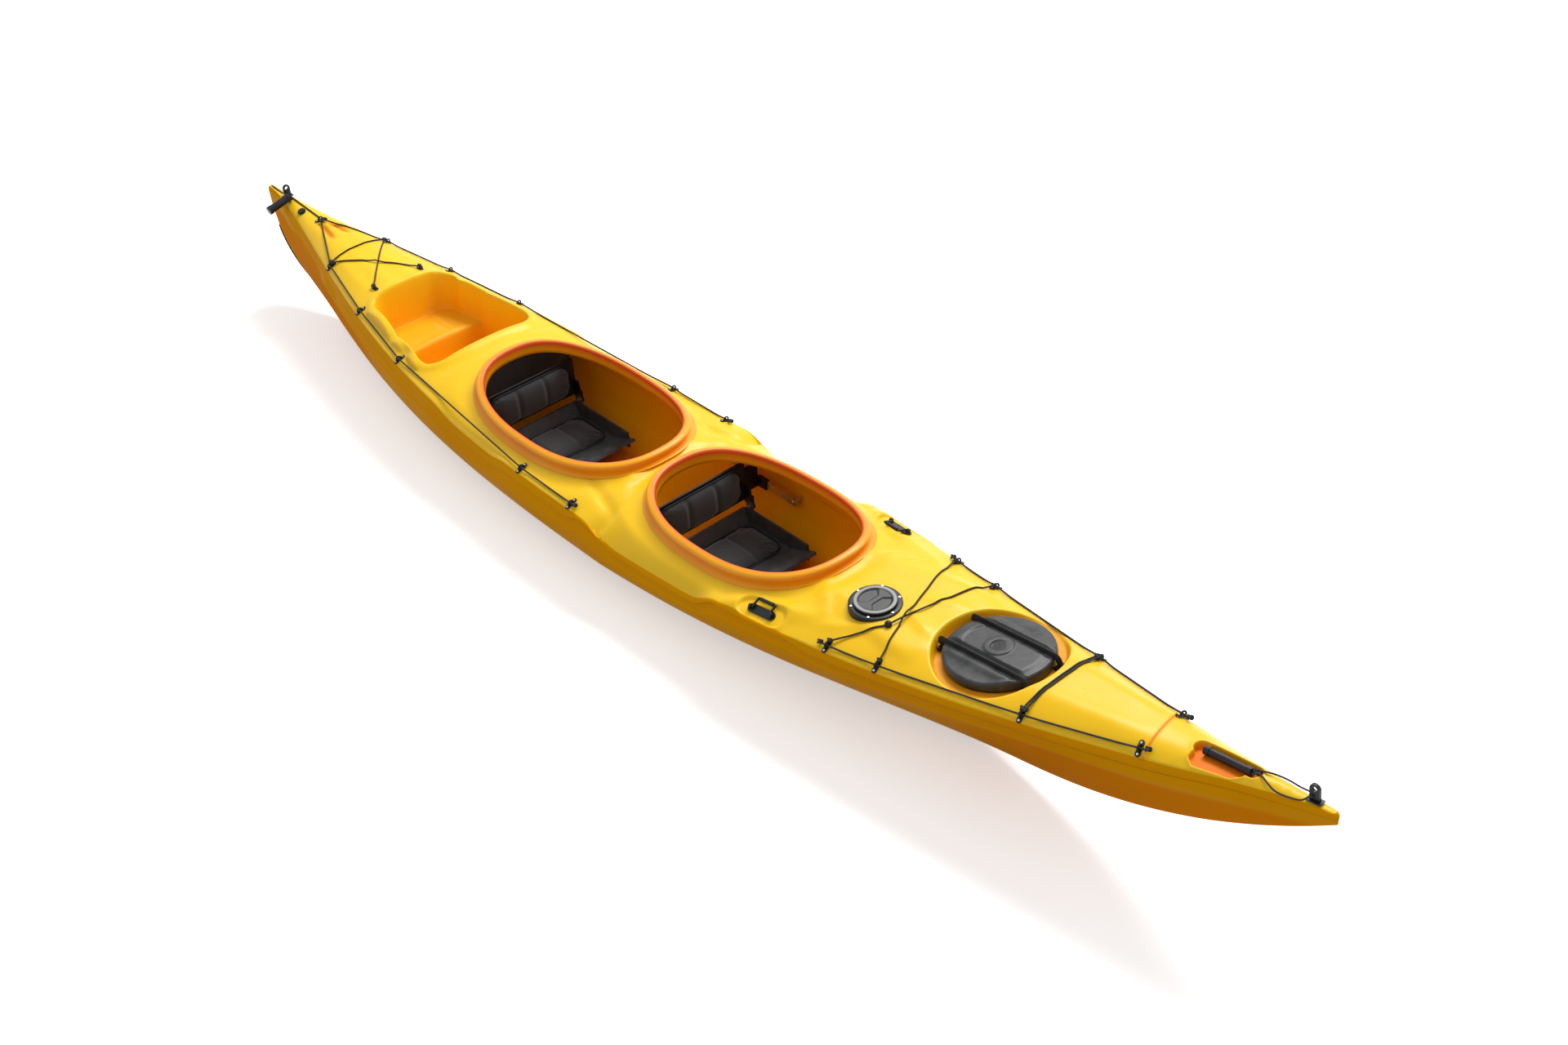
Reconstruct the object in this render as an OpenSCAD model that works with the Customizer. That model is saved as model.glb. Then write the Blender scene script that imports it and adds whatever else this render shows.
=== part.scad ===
// Tandem touring kayak: two moulded shells, two cockpits, bow hatch, tank well and deck gear.
// +X runs to the bow, +Y to port, +Z up, in millimetres. The origin is under the middle of the keel.

/* [Hull form] */
// Overall length, tip to tip
length = 5400; // [5000:50:5800]
// Beam across the gunwales
beam = 740; // [700:10:800]
// Height of the gunwale amidships
side_h = 270; // [250:5:310]
// Height of the gunwale at the bow tip
bow_h = 550; // [480:10:600]
// Height of the gunwale at the stern tip
stern_h = 480; // [430:10:540]
// Crown of the deck above the gunwale
crown = 62; // [56:2:80]
// Thickness of the moulded shells
wall = 5; // [4:0.5:8]
// Width of the blunt tips
tip_w = 30; // [20:2:44]

/* [Cockpits] */
// Middle of the front cockpit
front_cockpit_x = 470; // [440:10:520]
// Length of the front cockpit opening
front_cockpit_l = 800; // [720:10:860]
// Width of the front cockpit opening
front_cockpit_w = 490; // [430:10:520]
// Middle of the rear cockpit
rear_cockpit_x = -490; // [-540:10:-460]
// Length of the rear cockpit opening
rear_cockpit_l = 880; // [800:10:920]
// Width of the rear cockpit opening
rear_cockpit_w = 520; // [460:10:540]
// Height of the coaming above the deck
coaming_h = 36; // [28:1:46]
// Width of the coaming's outward lip
coaming_lip = 30; // [22:1:38]

/* [Bow hatch] */
// Centre of the bow hatch
hatch_x = 1555; // [1520:5:1600]
// Radius of the hatch opening
hatch_r = 150; // [130:2:156]
// Depth of the round recess that the hatch sits in
hatch_sink = 44; // [36:1:52]
// Height of the hatch rim
hatch_rim_h = 24; // [18:1:30]
// Width of the lid straps
strap_w = 25; // [20:1:38]

/* [Deck plate] */
// Centre of the deck plate along the boat
plate_x = 1118; // [1090:2:1140]
// Offset of the deck plate to starboard
plate_side = 82; // [50:1:100]
// Radius of the deck plate opening
plate_r = 56; // [50:1:64]

/* [Tank well] */
// Front edge of the tank well
well_front = -1122; // [-1180:2:-1100]
// Rear edge of the tank well
well_rear = -1651; // [-1720:1:-1600]
// Deck left beside the tank well
well_margin = 75; // [60:5:100]
// Height of the well floor
well_floor_h = 130; // [110:5:160]
// Height of the shelf in the rear of the well
well_shelf_h = 235; // [200:5:260]

/* [Seats] */
// Width of a seat
seat_w = 400; // [360:10:430]
// Length of a seat pan
seat_l = 380; // [340:10:400]
// Height of the pan above the floor
seat_h = 40; // [30:2:60]
// Height of a backrest above its pivot
backrest_h = 168; // [150:2:170]

/* [Foot braces] */
// Length of a foot-brace rail
rail_l = 360; // [320:10:400]
// Height of the rails above the keel
rail_z = 140; // [130:5:155]

/* [Deck gear] */
// Diameter of the perimeter deck line
line_d = 6; // [4:0.5:8]
// Diameter of the shock cords
bungee_d = 6; // [4:0.5:8]
// Clearance round the line inside a deck eye
eye_clear = 3; // [2:0.5:5]
// Diameter of the bow carrying handle's toggle
toggle_d = 26; // [22:1:32]
// Length of the bow carrying handle's toggle
toggle_l = 150; // [120:5:170]
// Diameter of the stern carrying handle's thick toggle
stern_toggle_d = 36; // [28:1:40]
// Length of the stern carrying handle's toggle
stern_toggle_l = 110; // [90:5:150]

/* [Hidden] */
$fn = 48;

yellow = "#f4c312";
black = "#1b1c1f";
grey = "#55585c";

// Hull form: plan curve, sheer, keel line and section fullness along the boat
half_l = length/2;
tip_deep = 30;
tip_round = 16;
keel_start = half_l*0.444;
keel_flat = 3;
bow_fine = 2.25;
bow_taper = 1.4;
stern_fine = 2.8;
stern_taper = 1.6;
stem_rake = 2.3;
stern_post = 3.3;
deck_power = 2.6;
function u_of(x) = min(1, abs(x)/half_l);
function plan_curve(x) = x >= 0 ? pow(1 - pow(u_of(x), bow_fine), bow_taper)
    : pow(1 - pow(u_of(x), stern_fine), stern_taper);
function tip_run(x) = max(0, abs(x) - half_l + tip_round)/tip_round;
function tip_nose(x) = max(0.35, sqrt(max(0, 1 - pow(tip_run(x), 2))));
function half_beam(x) = (tip_w/2 + (beam - tip_w)/2*plan_curve(x))*tip_nose(x);
function sheer(x) = side_h + ((x >= 0 ? bow_h : stern_h) - side_h)*pow(u_of(x), 2);
function keel_run(x) = max(0, (abs(x) - keel_start)/(half_l - keel_start));
function keel(x) = x >= 0 ? (bow_h - tip_deep)*pow(min(1, keel_run(x)), stem_rake)
    : (stern_h - tip_deep)*(1 - pow(max(0, 1 - pow(keel_run(x), stern_post)), 1/stern_post));
function fullness(x) = x >= 0 ? 1.05 + 2.45*pow(max(0, 1 - u_of(x)/0.67), 1.6)
    : 3.5 - 1.5*pow(u_of(x), 3);
function crown_at(x) = crown*(0.1 + 0.9*pow(max(0, 1 - pow(u_of(x), 4)), 0.7));
function deck_z(x, y) = sheer(x) + crown_at(x)*(1 - pow(min(1, abs(y)/half_beam(x)), deck_power));

// Inside of the shells
floor_lift = wall*1.3;
hollow_fore = half_l - 330;
hollow_aft = half_l - 200;
hollow_fade = 90;
function hollow(x) = x >= 0 ? max(0, min(1, (hollow_fore + hollow_fade - x)/hollow_fade))
    : max(0, min(1, (hollow_aft + hollow_fade + x)/hollow_fade));
function edge_wall(x) = min(wall, half_beam(x)*0.6);
function in_beam(x) = half_beam(x) - edge_wall(x);
function in_keel(x) = keel(x) + floor_lift;
function in_depth(x) = (sheer(x) - in_keel(x))*hollow(x);
function in_y(x, z) = in_beam(x)
    *pow(1 - pow((sheer(x) - z)/(sheer(x) - in_keel(x)), fullness(x)), 1/fullness(x));
floor_z = in_keel(0);

// Stations along the boat and angles round a section
station_n = 46;
section_n = 8;
inner_l = half_l - tip_round;
function spread(t) = inner_l*(0.55*t + 0.45*sin(90*t));
stations = concat([-half_l, -half_l + 3, -half_l + 8], [for (i = [0:station_n]) spread(2*i/station_n - 1)],
    [half_l - 8, half_l - 3, half_l]);
angles = [for (j = [-section_n:section_n]) 90*j/section_n];
function out_point(x, a) = [x, sign(a)*half_beam(x)*pow(sin(abs(a)), 2/fullness(x)),
    max(keel(x), sheer(x) - (sheer(x) - keel(x) + keel_flat)*pow(cos(a), 2/fullness(x)))];
function in_point(x, a) = [x, sign(a)*in_beam(x)*pow(sin(abs(a)), 2/fullness(x)),
    sheer(x) - in_depth(x)*pow(cos(a), 2/fullness(x))];
deck_angles = [for (j = [-10:10]) 9*j];
function deck_top(x, a) = [x, half_beam(x)*sin(a), deck_z(x, half_beam(x)*sin(a))];
function deck_under(x, a) = [x, in_beam(x)*sin(a), max(sheer(x), deck_z(x, in_beam(x)*sin(a)) - wall)];

// Closed solid between two grids of points with the same rows and columns; lean sets the end caps' diagonals
function flip(list) = [for (i = [len(list) - 1:-1:0]) list[i]];
module strip_loft(top, under, lean = 1) {
    rows = len(top);
    cols = len(top[0]);
    ring = 2*cols;
    points = [for (i = [0:rows - 1]) each concat(top[i], flip(under[i]))];
    sides = [for (i = [0:rows - 2], j = [0:ring - 1]) let (k = (j + 1)%ring, a = i*ring, b = a + ring)
        each [[a + j, a + k, b + k], [a + j, b + k, b + j]]];
    z = (rows - 1)*ring;
    half = (cols - 1)/2;
    first = [for (j = [0:cols - 2]) let (k = ring - 1 - j) each lean*(j + 0.5 - half) < 0
        ? [[j + 1, j, k - 1], [j, k, k - 1]] : [[j + 1, j, k], [j + 1, k, k - 1]]];
    last = [for (j = [0:cols - 2]) let (k = ring - 1 - j) each lean*(j + 0.5 - half) < 0
        ? [[z + j, z + j + 1, z + k - 1], [z + j, z + k - 1, z + k]]
        : [[z + j, z + j + 1, z + k], [z + j + 1, z + k - 1, z + k]]];
    polyhedron(points, concat(sides, first, last), convexity = 8);
}

// Round tube along a list of points
function unit(v) = v/norm(v);
function along(p, i) = unit(p[min(i + 1, len(p) - 1)] - p[max(i - 1, 0)]);
function level_side(t) = abs(t[2]) > 0.97 ? [0, 1, 0] : unit(cross([0, 0, 1], t));
function tube_ring(p, i, r, n) = let (t = along(p, i), s = unit(level_side(t) - t*(level_side(t)*t)),
    w = cross(t, s)) [for (k = [0:n - 1]) p[i] + r*(cos(360*k/n)*s + sin(360*k/n)*w)];
module tube(p, d, n = 8) {
    rows = len(p);
    points = [for (i = [0:rows - 1]) each tube_ring(p, i, d/2, n)];
    sides = [for (i = [0:rows - 2], j = [0:n - 1]) let (k = (j + 1)%n, a = i*n, b = a + n)
        each [[a + j, b + k, a + k], [a + j, b + j, b + k]]];
    z = (rows - 1)*n;
    first = [for (j = [1:n - 2]) [0, j, j + 1]];
    last = [for (j = [1:n - 2]) [z, z + j + 1, z + j]];
    polyhedron(points, concat(sides, first, last), convexity = 6);
}

// Places a child on the deck, its X along the given heading and its Z square to the deck
function deck_slope(x, y) = [(deck_z(x + 5, y) - deck_z(x - 5, y))/10,
    (deck_z(x, y + 2) - deck_z(x, y - 2))/4];
function deck_normal(x, y) = let (g = deck_slope(x, y)) unit([-g[0], -g[1], 1]);
function deck_along(x, y, yaw) = let (g = deck_slope(x, y))
    unit([cos(yaw), sin(yaw), g[0]*cos(yaw) + g[1]*sin(yaw)]);
module on_deck(x, y, yaw = 0) {
    t = deck_along(x, y, yaw);
    n = deck_normal(x, y);
    b = cross(n, t);
    multmatrix([[t[0], b[0], n[0], x], [t[1], b[1], n[1], y], [t[2], b[2], n[2], deck_z(x, y)], [0, 0, 0, 1]])
        children();
}

// Hull: the lower moulded shell
module hull_shell() {
    strip_loft([for (x = stations) [for (a = angles) in_point(x, a)]],
        [for (x = stations) [for (a = angles) out_point(x, a)]]);
}
module lower_hull() {
    color(yellow) hull_shell();
}

// Cockpit openings: rounded ovals in plan
oval_power = 2.4;
coaming_wall = 5.5;
hole_gap = 0.65;
oval_n = 40;
function oval(c, a, b, t) = [c + a*sign(cos(t))*pow(abs(cos(t)), 2/oval_power),
    b*sign(sin(t))*pow(abs(sin(t)), 2/oval_power)];
function oval_points(c, a, b) = [for (i = [0:oval_n - 1]) oval(c, a, b, 360*i/oval_n)];
module cockpit_hole(c, l, w) {
    translate([0, 0, floor_z])
        linear_extrude(bow_h)
            polygon(oval_points(c, l/2 + coaming_wall + hole_gap, w/2 + coaming_wall + hole_gap));
}

// Coaming: spigot in the deck, skirt on the deck, riser and outward lip
coaming_seat = 1.2;
coaming_depth = 12;
skirt_w = 44;
coaming_profile = [[0, -coaming_depth], [0, coaming_h - 6], [5, coaming_h], [coaming_lip - 6, coaming_h - 1],
    [coaming_lip, coaming_h - 6], [coaming_lip - 5, coaming_h - 12], [14, coaming_h - 14], [15, 10],
    [22, 6], [skirt_w, 2.5], [skirt_w, coaming_seat],
    [coaming_wall, coaming_seat], [coaming_wall, -coaming_depth]];
module coaming(c, l, w) {
    m = len(coaming_profile);
    points = [for (i = [0:oval_n - 1]) each [for (p = coaming_profile)
        let (q = oval(c, l/2 + p[0], w/2 + p[0], 360*i/oval_n)) [q[0], q[1], deck_z(q[0], q[1]) + p[1]]]];
    faces = [for (i = [0:oval_n - 1], j = [0:m - 1])
        let (k = (j + 1)%m, a = i*m, b = ((i + 1)%oval_n)*m)
        each [[a + j, b + k, a + k], [a + j, b + j, b + k]]];
    color(yellow) polyhedron(points, faces, convexity = 8);
}
module front_coaming() coaming(front_cockpit_x, front_cockpit_l, front_cockpit_w);
module rear_coaming() coaming(rear_cockpit_x, rear_cockpit_l, rear_cockpit_w);

// Bow hatch frame: Z square to the deck's slope, zero on the recess floor
hatch_clear = 0.3;
hatch_run = 100;
hatch_tilt = atan((deck_z(hatch_x + hatch_run, 0) - deck_z(hatch_x - hatch_run, 0))/(2*hatch_run));
hatch_flange_w = 14;
hatch_rim_t = 6;
lid_wall = 6;
lid_t = 8;
seal_t = 5;
lid_in_r = hatch_r + hatch_rim_t + 6;
lid_r = lid_in_r + lid_wall;
lid_z = hatch_rim_h + seal_t + 2*hatch_clear;
recess_r = lid_r + 30;
module at_hatch() {
    translate([hatch_x, 0, deck_z(hatch_x, 0) - hatch_sink]) rotate([0, -hatch_tilt, 0]) children();
}

// Deck plate seat: a level boss on the deck
plate_y = -plate_side;
plate_wall = 5.5;
plate_fit = 0.5;
boss_rise = 8.75;
boss_deep = 41;
plate_z = deck_z(plate_x, plate_y) + boss_rise;
boss_bore = plate_r + plate_wall + plate_fit;
boss_r = boss_bore + 25.5;

// Tank well outline in plan: its sides run along the gunwales
well_round = 72.5;
function well_half(x) = half_beam(x) - well_margin;
module well_plan(grow, rear) {
    offset(r = well_round + grow, $fn = 32) offset(delta = -well_round)
        polygon([[rear, -well_half(rear)], [well_front, -well_half(well_front)],
            [well_front, well_half(well_front)], [rear, well_half(rear)]]);
}
shelf_edge = (well_front + well_rear)/2 - 40;
module well_space(grow) {
    translate([0, 0, well_shelf_h - grow]) linear_extrude(bow_h) well_plan(grow, well_rear);
    translate([0, 0, well_floor_h - grow]) linear_extrude(bow_h) well_plan(grow, shelf_edge);
}

// Bow toggle recess: a long pocket on the centreline
bow_eye_x = half_l - 72;
bow_eye_rise = 17;
bow_cord_run = 178;
toggle_front = bow_eye_x - bow_cord_run;
pocket_x = toggle_front - toggle_l/2 - 12;
pocket_half = toggle_l/2 + 30;
pocket_r = toggle_d/2 + 9.25;
pocket_deep = 23;
module pocket_space(grow, top) {
    on_deck(pocket_x, 0)
        for (part = [-1, 1])
            hull()
                for (end = [0, 1])
                    translate([part*end*(pocket_half - pocket_r), 0, -pocket_deep - grow])
                        cylinder(h = pocket_deep + grow + top, r = pocket_r + grow, $fn = 32);
}

// Side handle dimples: shallow scoops in the deck's skin
handle_x = 830;
handle_inset = 40;
handle_y = half_beam(handle_x) - handle_inset;
handle_yaw = atan((half_beam(handle_x + 60) - half_beam(handle_x - 60))/120);
dimple_deep = 2.1;
module dimple(side) {
    on_deck(handle_x, side*handle_y, side*handle_yaw)
        for (part = [-1, 1])
            hull()
                for (end = [0, 1])
                    translate([part*end*58, 0, -dimple_deep]) cylinder(h = 40, r = 30, $fn = 32);
}

// Deck: the upper moulded shell
module deck_shell() {
    strip_loft([for (x = stations) [for (a = deck_angles) deck_top(x, a)]],
        [for (x = stations) [for (a = deck_angles) deck_under(x, a)]], -1);
}
module deck_block() {
    strip_loft([for (x = stations) [for (a = deck_angles) deck_top(x, a)]],
        [for (x = stations) [for (a = deck_angles)
            [x, half_beam(x)*sin(a), min(well_floor_h - wall*2, keel(x))]]]);
}
module deck() {
    color(yellow) difference() {
        union() {
            deck_shell();
            intersection() {
                union() {
                    well_space(wall);
                    pocket_space(wall, 0);
                    at_hatch() translate([0, 0, -wall]) cylinder(h = hatch_sink*2, r = recess_r + wall);
                }
                deck_block();
            }
            translate([plate_x, plate_y, plate_z - boss_deep]) cylinder(h = boss_deep, r = boss_r);
        }
        well_space(0);
        pocket_space(0, crown);
        for (side = [-1, 1])
            dimple(side);
        at_hatch() {
            cylinder(h = hatch_sink*3, r = recess_r);
            translate([0, 0, -wall*2]) cylinder(h = wall*4, r = hatch_r);
        }
        translate([plate_x, plate_y, plate_z - boss_deep*2]) cylinder(h = boss_deep*3, r = boss_bore);
        cockpit_hole(front_cockpit_x, front_cockpit_l, front_cockpit_w);
        cockpit_hole(rear_cockpit_x, rear_cockpit_l, rear_cockpit_w);
    }
}

// Bulkheads: plates cut to the inside of the shells
bulkhead_t = 12;
bulkhead_gap = 1.2;
bulkhead_side = 1.9;
bow_bulkhead_x = 1334;
stern_bulkhead_x = -1045;
function inside_hull(x, a) = in_point(x, a) + [0, -sign(a)*bulkhead_side, bulkhead_side];
function inside_deck(x, a) = deck_under(x, a) - [0, 0, bulkhead_gap];
module bulkhead(x) {
    far = x + sign(x)*bulkhead_t/2;
    color(grey) translate([x - bulkhead_t/2, 0, 0])
        rotate([90, 0, 90]) linear_extrude(bulkhead_t)
            polygon(concat([for (a = angles) if (abs(a) < 85) let (p = inside_hull(far, a)) [p[1], p[2]]],
                [for (a = flip([for (b = deck_angles) if (abs(b) < 85) b]))
                    let (p = inside_deck(far, a)) [p[1], p[2]]]));
}
module bow_bulkhead() bulkhead(bow_bulkhead_x);
module stern_bulkhead() bulkhead(stern_bulkhead_x);

// Hatch rim, seal and lid
module bow_hatch_rim() {
    color(black) at_hatch() rotate_extrude()
        polygon([[hatch_r, 0], [hatch_r + hatch_flange_w, 0], [hatch_r + hatch_flange_w, 4],
            [hatch_r + hatch_rim_t, 4], [hatch_r + hatch_rim_t, hatch_rim_h], [hatch_r, hatch_rim_h]]);
}
module bow_hatch_seal() {
    color(black) at_hatch() rotate_extrude()
        translate([hatch_r - 3, hatch_rim_h + hatch_clear]) square([hatch_rim_t + 6, seal_t]);
}
lid_skirt_gap = 2;
groove_t = 3;
strap_y = 70;
panel_r = strap_y - strap_w/2 - 6;
boss_top_r = 24;
module strap_line(side) translate([0, side*strap_y, 0]) children();
module bow_hatch_lid() {
    color(grey) at_hatch() difference() {
        union() {
            rotate_extrude()
                polygon([[0, lid_z], [lid_in_r, lid_z], [lid_in_r, 4 + lid_skirt_gap], [lid_r, 4 + lid_skirt_gap],
                    [lid_r, lid_z + lid_t - 4], [lid_r - 4, lid_z + lid_t], [0, lid_z + lid_t]]);
            translate([0, 0, lid_z + 1]) cylinder(h = lid_t + 3, r = panel_r);
            translate([0, 0, lid_z + 2]) cylinder(h = lid_t + 6, r = boss_top_r);
        }
        for (side = [-1, 1])
            strap_line(side)
                translate([-lid_r*2, -strap_w/2 - 1, lid_z + lid_t - groove_t])
                    cube([lid_r*4, strap_w + 2, lid_t]);
    }
}

// Straps: webbing over the lid, down to a buckle at each end
strap_t = 2.4;
strap_lift = 0.3;
buckle_l = 13;
buckle_t = 9;
buckle_side = 4;
buckle_in = sqrt(pow(lid_r, 2) - pow(strap_y - strap_w/2 - buckle_side, 2)) + 1;
strap_foot = 3 + buckle_t + 0.3;
strap_top = lid_z + lid_t - groove_t + strap_lift;
strap_half = buckle_in + 2;
strap_arm = [[strap_half - 4, strap_top], [strap_half + 3, strap_top - 3], [strap_half + 6, strap_top - 10],
    [strap_half + 7, strap_foot + 6], [strap_half + 11, strap_foot]];
strap_path = concat([for (p = flip(strap_arm)) [-p[0], p[1]]], [[0, strap_top]], strap_arm);
module strap(side) {
    color(black) at_hatch() strap_line(side)
        strip_loft([for (p = strap_path)
            [[p[0], -strap_w/2, p[1] + strap_t], [p[0], strap_w/2, p[1] + strap_t]]],
            [for (p = strap_path) [[p[0], -strap_w/2, p[1]], [p[0], strap_w/2, p[1]]]]);
}
module hatch_strap_port() strap(1);
module hatch_strap_stbd() strap(-1);
module each_strap_end() {
    at_hatch()
        for (side = [-1, 1])
            strap_line(side)
                for (end = [0, 180])
                    rotate([0, 0, end]) children();
}
module hatch_buckles() {
    color(black) each_strap_end()
        difference() {
            translate([buckle_in, -strap_w/2 - buckle_side, 3])
                cube([buckle_l, strap_w + 2*buckle_side, buckle_t]);
            translate([buckle_in + 4, -strap_w/2, 5]) cube([buckle_l, strap_w, buckle_t - 4]);
        }
}
module hatch_strap_anchors() {
    color(black) each_strap_end()
        difference() {
            translate([buckle_in - 1, -strap_w/2 - buckle_side, 0.2])
                cube([buckle_l + 2, strap_w + 2*buckle_side, 2.5]);
            translate([buckle_in + buckle_l/2, 0, -1]) cylinder(h = 8, r = 3);
        }
}

// Deck plate: collar on the boss, screw-in lid with a grip bar, O-ring between
collar_t = 5;
collar_r = boss_bore + 22;
plug_gap = 0.4;
ring_d = 2.6;
lid_disc_r = plate_r + 12;
lid_disc_t = 7;
plate_top = plate_z + collar_t + ring_d + 0.4;
screw_circle = (lid_disc_r + collar_r)/2;
plate_screw_n = 6;
module at_plate(z) translate([plate_x, plate_y, z]) children();
module deck_plate_collar() {
    color(black) at_plate(plate_z) difference() {
        rotate_extrude()
            polygon([[plate_r, -26], [plate_r + plate_wall, -26], [plate_r + plate_wall, 0], [collar_r, 0],
                [collar_r - 2, collar_t], [plate_r, collar_t]]);
        for (i = [0:plate_screw_n - 1])
            rotate([0, 0, 360*i/plate_screw_n]) translate([screw_circle, 0, -1]) cylinder(h = 9, r = 2.1);
    }
}
module deck_plate_screws() {
    color("silver") at_plate(plate_z)
        for (i = [0:plate_screw_n - 1])
            rotate([0, 0, 360*i/plate_screw_n]) translate([screw_circle, 0, 0]) {
                translate([0, 0, collar_t]) cylinder(h = 2, r = 3.6);
                translate([0, 0, -12]) cylinder(h = 13 + collar_t, r = 2);
            }
}
module deck_plate_oring() {
    color(black) at_plate(plate_z + collar_t + ring_d/2 + 0.2)
        rotate_extrude() translate([plate_r + 6, 0]) circle(r = ring_d/2);
}
module deck_plate_lid() {
    color(grey) at_plate(plate_top) {
        difference() {
            union() {
                cylinder(h = lid_disc_t, r = lid_disc_r);
                translate([0, 0, -24]) cylinder(h = 25, r = plate_r - plug_gap);
            }
            translate([0, 0, -5]) cylinder(h = 40, r = plate_r - 10);
        }
        translate([-plate_r + 8, -9, -5.5]) cube([2*plate_r - 16, 18, 12]);
    }
}

// Seats: moulded pan on a pedestal, with ears that carry the backrest pins
pan_t = 8;
ear_t = 8;
ear_r = 16;
pin_r = 4;
pin_fit = 0.05;
joint_gap = 0.3;
pivot_back = 150;
pivot_up = 120;
bolster_h = 66;
pedestal_w = 90;
pedestal_l = 300;
front_seat_x = front_cockpit_x - front_cockpit_l/2 + 80 + seat_l/2 - 10;
rear_seat_x = rear_cockpit_x - rear_cockpit_l/2 + 80 + seat_l/2 - 10;
function floor_at(x, y) = let (p = in_point(x, 90/section_n)) in_keel(x) + (p[2] - in_keel(x))*y/p[1];
function seat_base(x) = max(floor_at(x - pedestal_l/2 - 20, pedestal_w/2),
    floor_at(x + pedestal_l/2 - 20, pedestal_w/2)) + 0.5;
module at_seat(x) translate([x, 0, seat_base(x)]) children();
module ear(y0, t) {
    translate([-pivot_back, y0, pivot_up]) rotate([-90, 0, 0]) cylinder(h = t, r = ear_r);
}
module pin_bore() {
    translate([-pivot_back, -seat_w, pivot_up]) rotate([-90, 0, 0]) cylinder(h = seat_w*2, r = pin_r + pin_fit);
}
module seat(x) {
    color(grey) at_seat(x) difference() {
        union() {
            rotate([90, 0, 0]) translate([0, 0, -seat_w/2]) linear_extrude(seat_w)
                polygon([[-seat_l/2, seat_h + 55], [-seat_l/2 + 30, seat_h], [seat_l/2 - 130, seat_h],
                    [seat_l/2, seat_h + 45], [seat_l/2 - 6, seat_h + 45 + pan_t], [seat_l/2 - 132, seat_h + pan_t],
                    [-seat_l/2 + 34, seat_h + pan_t], [-seat_l/2 + 8, seat_h + 55]]);
            for (side = [-1, 1]) {
                translate([-seat_l/2 + 20, side*(seat_w/2 - ear_t/2) - ear_t/2, seat_h])
                    cube([seat_l - 60, ear_t, bolster_h]);
                ear(side*(seat_w/2 - ear_t/2) - ear_t/2, ear_t);
                translate([-pivot_back - ear_r, side*(seat_w/2 - ear_t/2) - ear_t/2, seat_h])
                    cube([ear_r*2, ear_t, pivot_up - seat_h]);
            }
            translate([-pedestal_l/2 - 20, -pedestal_w/2, 0]) cube([pedestal_l, pedestal_w, seat_h + 2]);
        }
        pin_bore();
    }
}
module front_seat() seat(front_seat_x);
module rear_seat() seat(rear_seat_x);

// Pads: crowned, with sides that draw in between the corners
pad_n = 8;
function pad_edge(t) = sqrt(max(0, 1 - pow(t, 4)));
function pad_draw(a, b) = a*(1 - 0.05*(1 - b*b));
function pad_xy(l, w, a, b) = [l/2*pad_draw(a, b), w/2*pad_draw(b, a)];
module pad(l, w, low, rise) {
    steps = [for (i = [0:pad_n]) 2*i/pad_n - 1];
    strip_loft([for (a = steps) [for (b = steps) let (p = pad_xy(l, w, a, b))
            [p[0], p[1], low + rise*pad_edge(a)*pad_edge(b)]]],
        [for (a = steps) [for (b = steps) let (p = pad_xy(l, w, a, b)) [p[0], p[1], 0]]]);
}
pad_gap = 0.4;
seat_pad_l = seat_l - 175;
seat_pad_low = 10;
seat_pad_rise = 20;
module seat_pad(x) {
    color(black) at_seat(x)
        translate([-seat_l/2 + 38 + seat_pad_l/2, 0, seat_h + pan_t + pad_gap])
            pad(seat_pad_l, seat_w - 40, seat_pad_low, seat_pad_rise);
}
module front_seat_pad() seat_pad(front_seat_x);
module rear_seat_pad() seat_pad(rear_seat_x);

// Backrests: a stiff plate between two side arms that turn on the pins
back_t = 8;
back_off = 26;
arm_y = seat_w/2 + joint_gap;
back_low = 14;
module backrest(x) {
    color(black) at_seat(x) difference() {
        union() {
            translate([-pivot_back - back_off - back_t, -arm_y - ear_t, pivot_up + back_low])
                cube([back_t, (arm_y + ear_t)*2, backrest_h - back_low]);
            for (side = [-1, 1]) {
                ear(side*(arm_y + ear_t/2) - ear_t/2, ear_t);
                translate([-pivot_back - back_off - back_t, side*(arm_y + ear_t/2) - ear_t/2, pivot_up])
                    cube([back_off + back_t, ear_t, back_low + 60]);
                translate([-pivot_back - 4, side*(arm_y + ear_t/2) - ear_t/2, pivot_up]) cube([16, ear_t, 40]);
            }
        }
        pin_bore();
    }
}
module front_backrest() backrest(front_seat_x);
module rear_backrest() backrest(rear_seat_x);
back_pad_rise = 22;
module backrest_pad(x) {
    color(black) at_seat(x)
        translate([-pivot_back - back_off + pad_gap, 0, pivot_up + (backrest_h + back_low)/2])
            rotate([0, 90, 0]) pad(backrest_h - back_low - 10, seat_w - 30, 10, back_pad_rise);
}
module front_backrest_pad() backrest_pad(front_seat_x);
module rear_backrest_pad() backrest_pad(rear_seat_x);
pin_head = 4;
module seat_pins(x) {
    color("silver") at_seat(x)
        for (side = [0, 1])
            mirror([0, side, 0])
                translate([-pivot_back, seat_w/2 - ear_t - pin_head, pivot_up]) rotate([-90, 0, 0]) {
                    cylinder(h = 2*ear_t + joint_gap + pin_head, r = pin_r);
                    cylinder(h = pin_head, r = pin_r + 3);
                    translate([0, 0, pin_head + 2*ear_t + 2*joint_gap]) cylinder(h = pin_head, r = pin_r + 3);
                    cylinder(h = 2*ear_t + 2*joint_gap + 2*pin_head, r = pin_r);
                }
}
module backrest_pins() {
    for (x = [front_seat_x, rear_seat_x])
        seat_pins(x);
}

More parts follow.
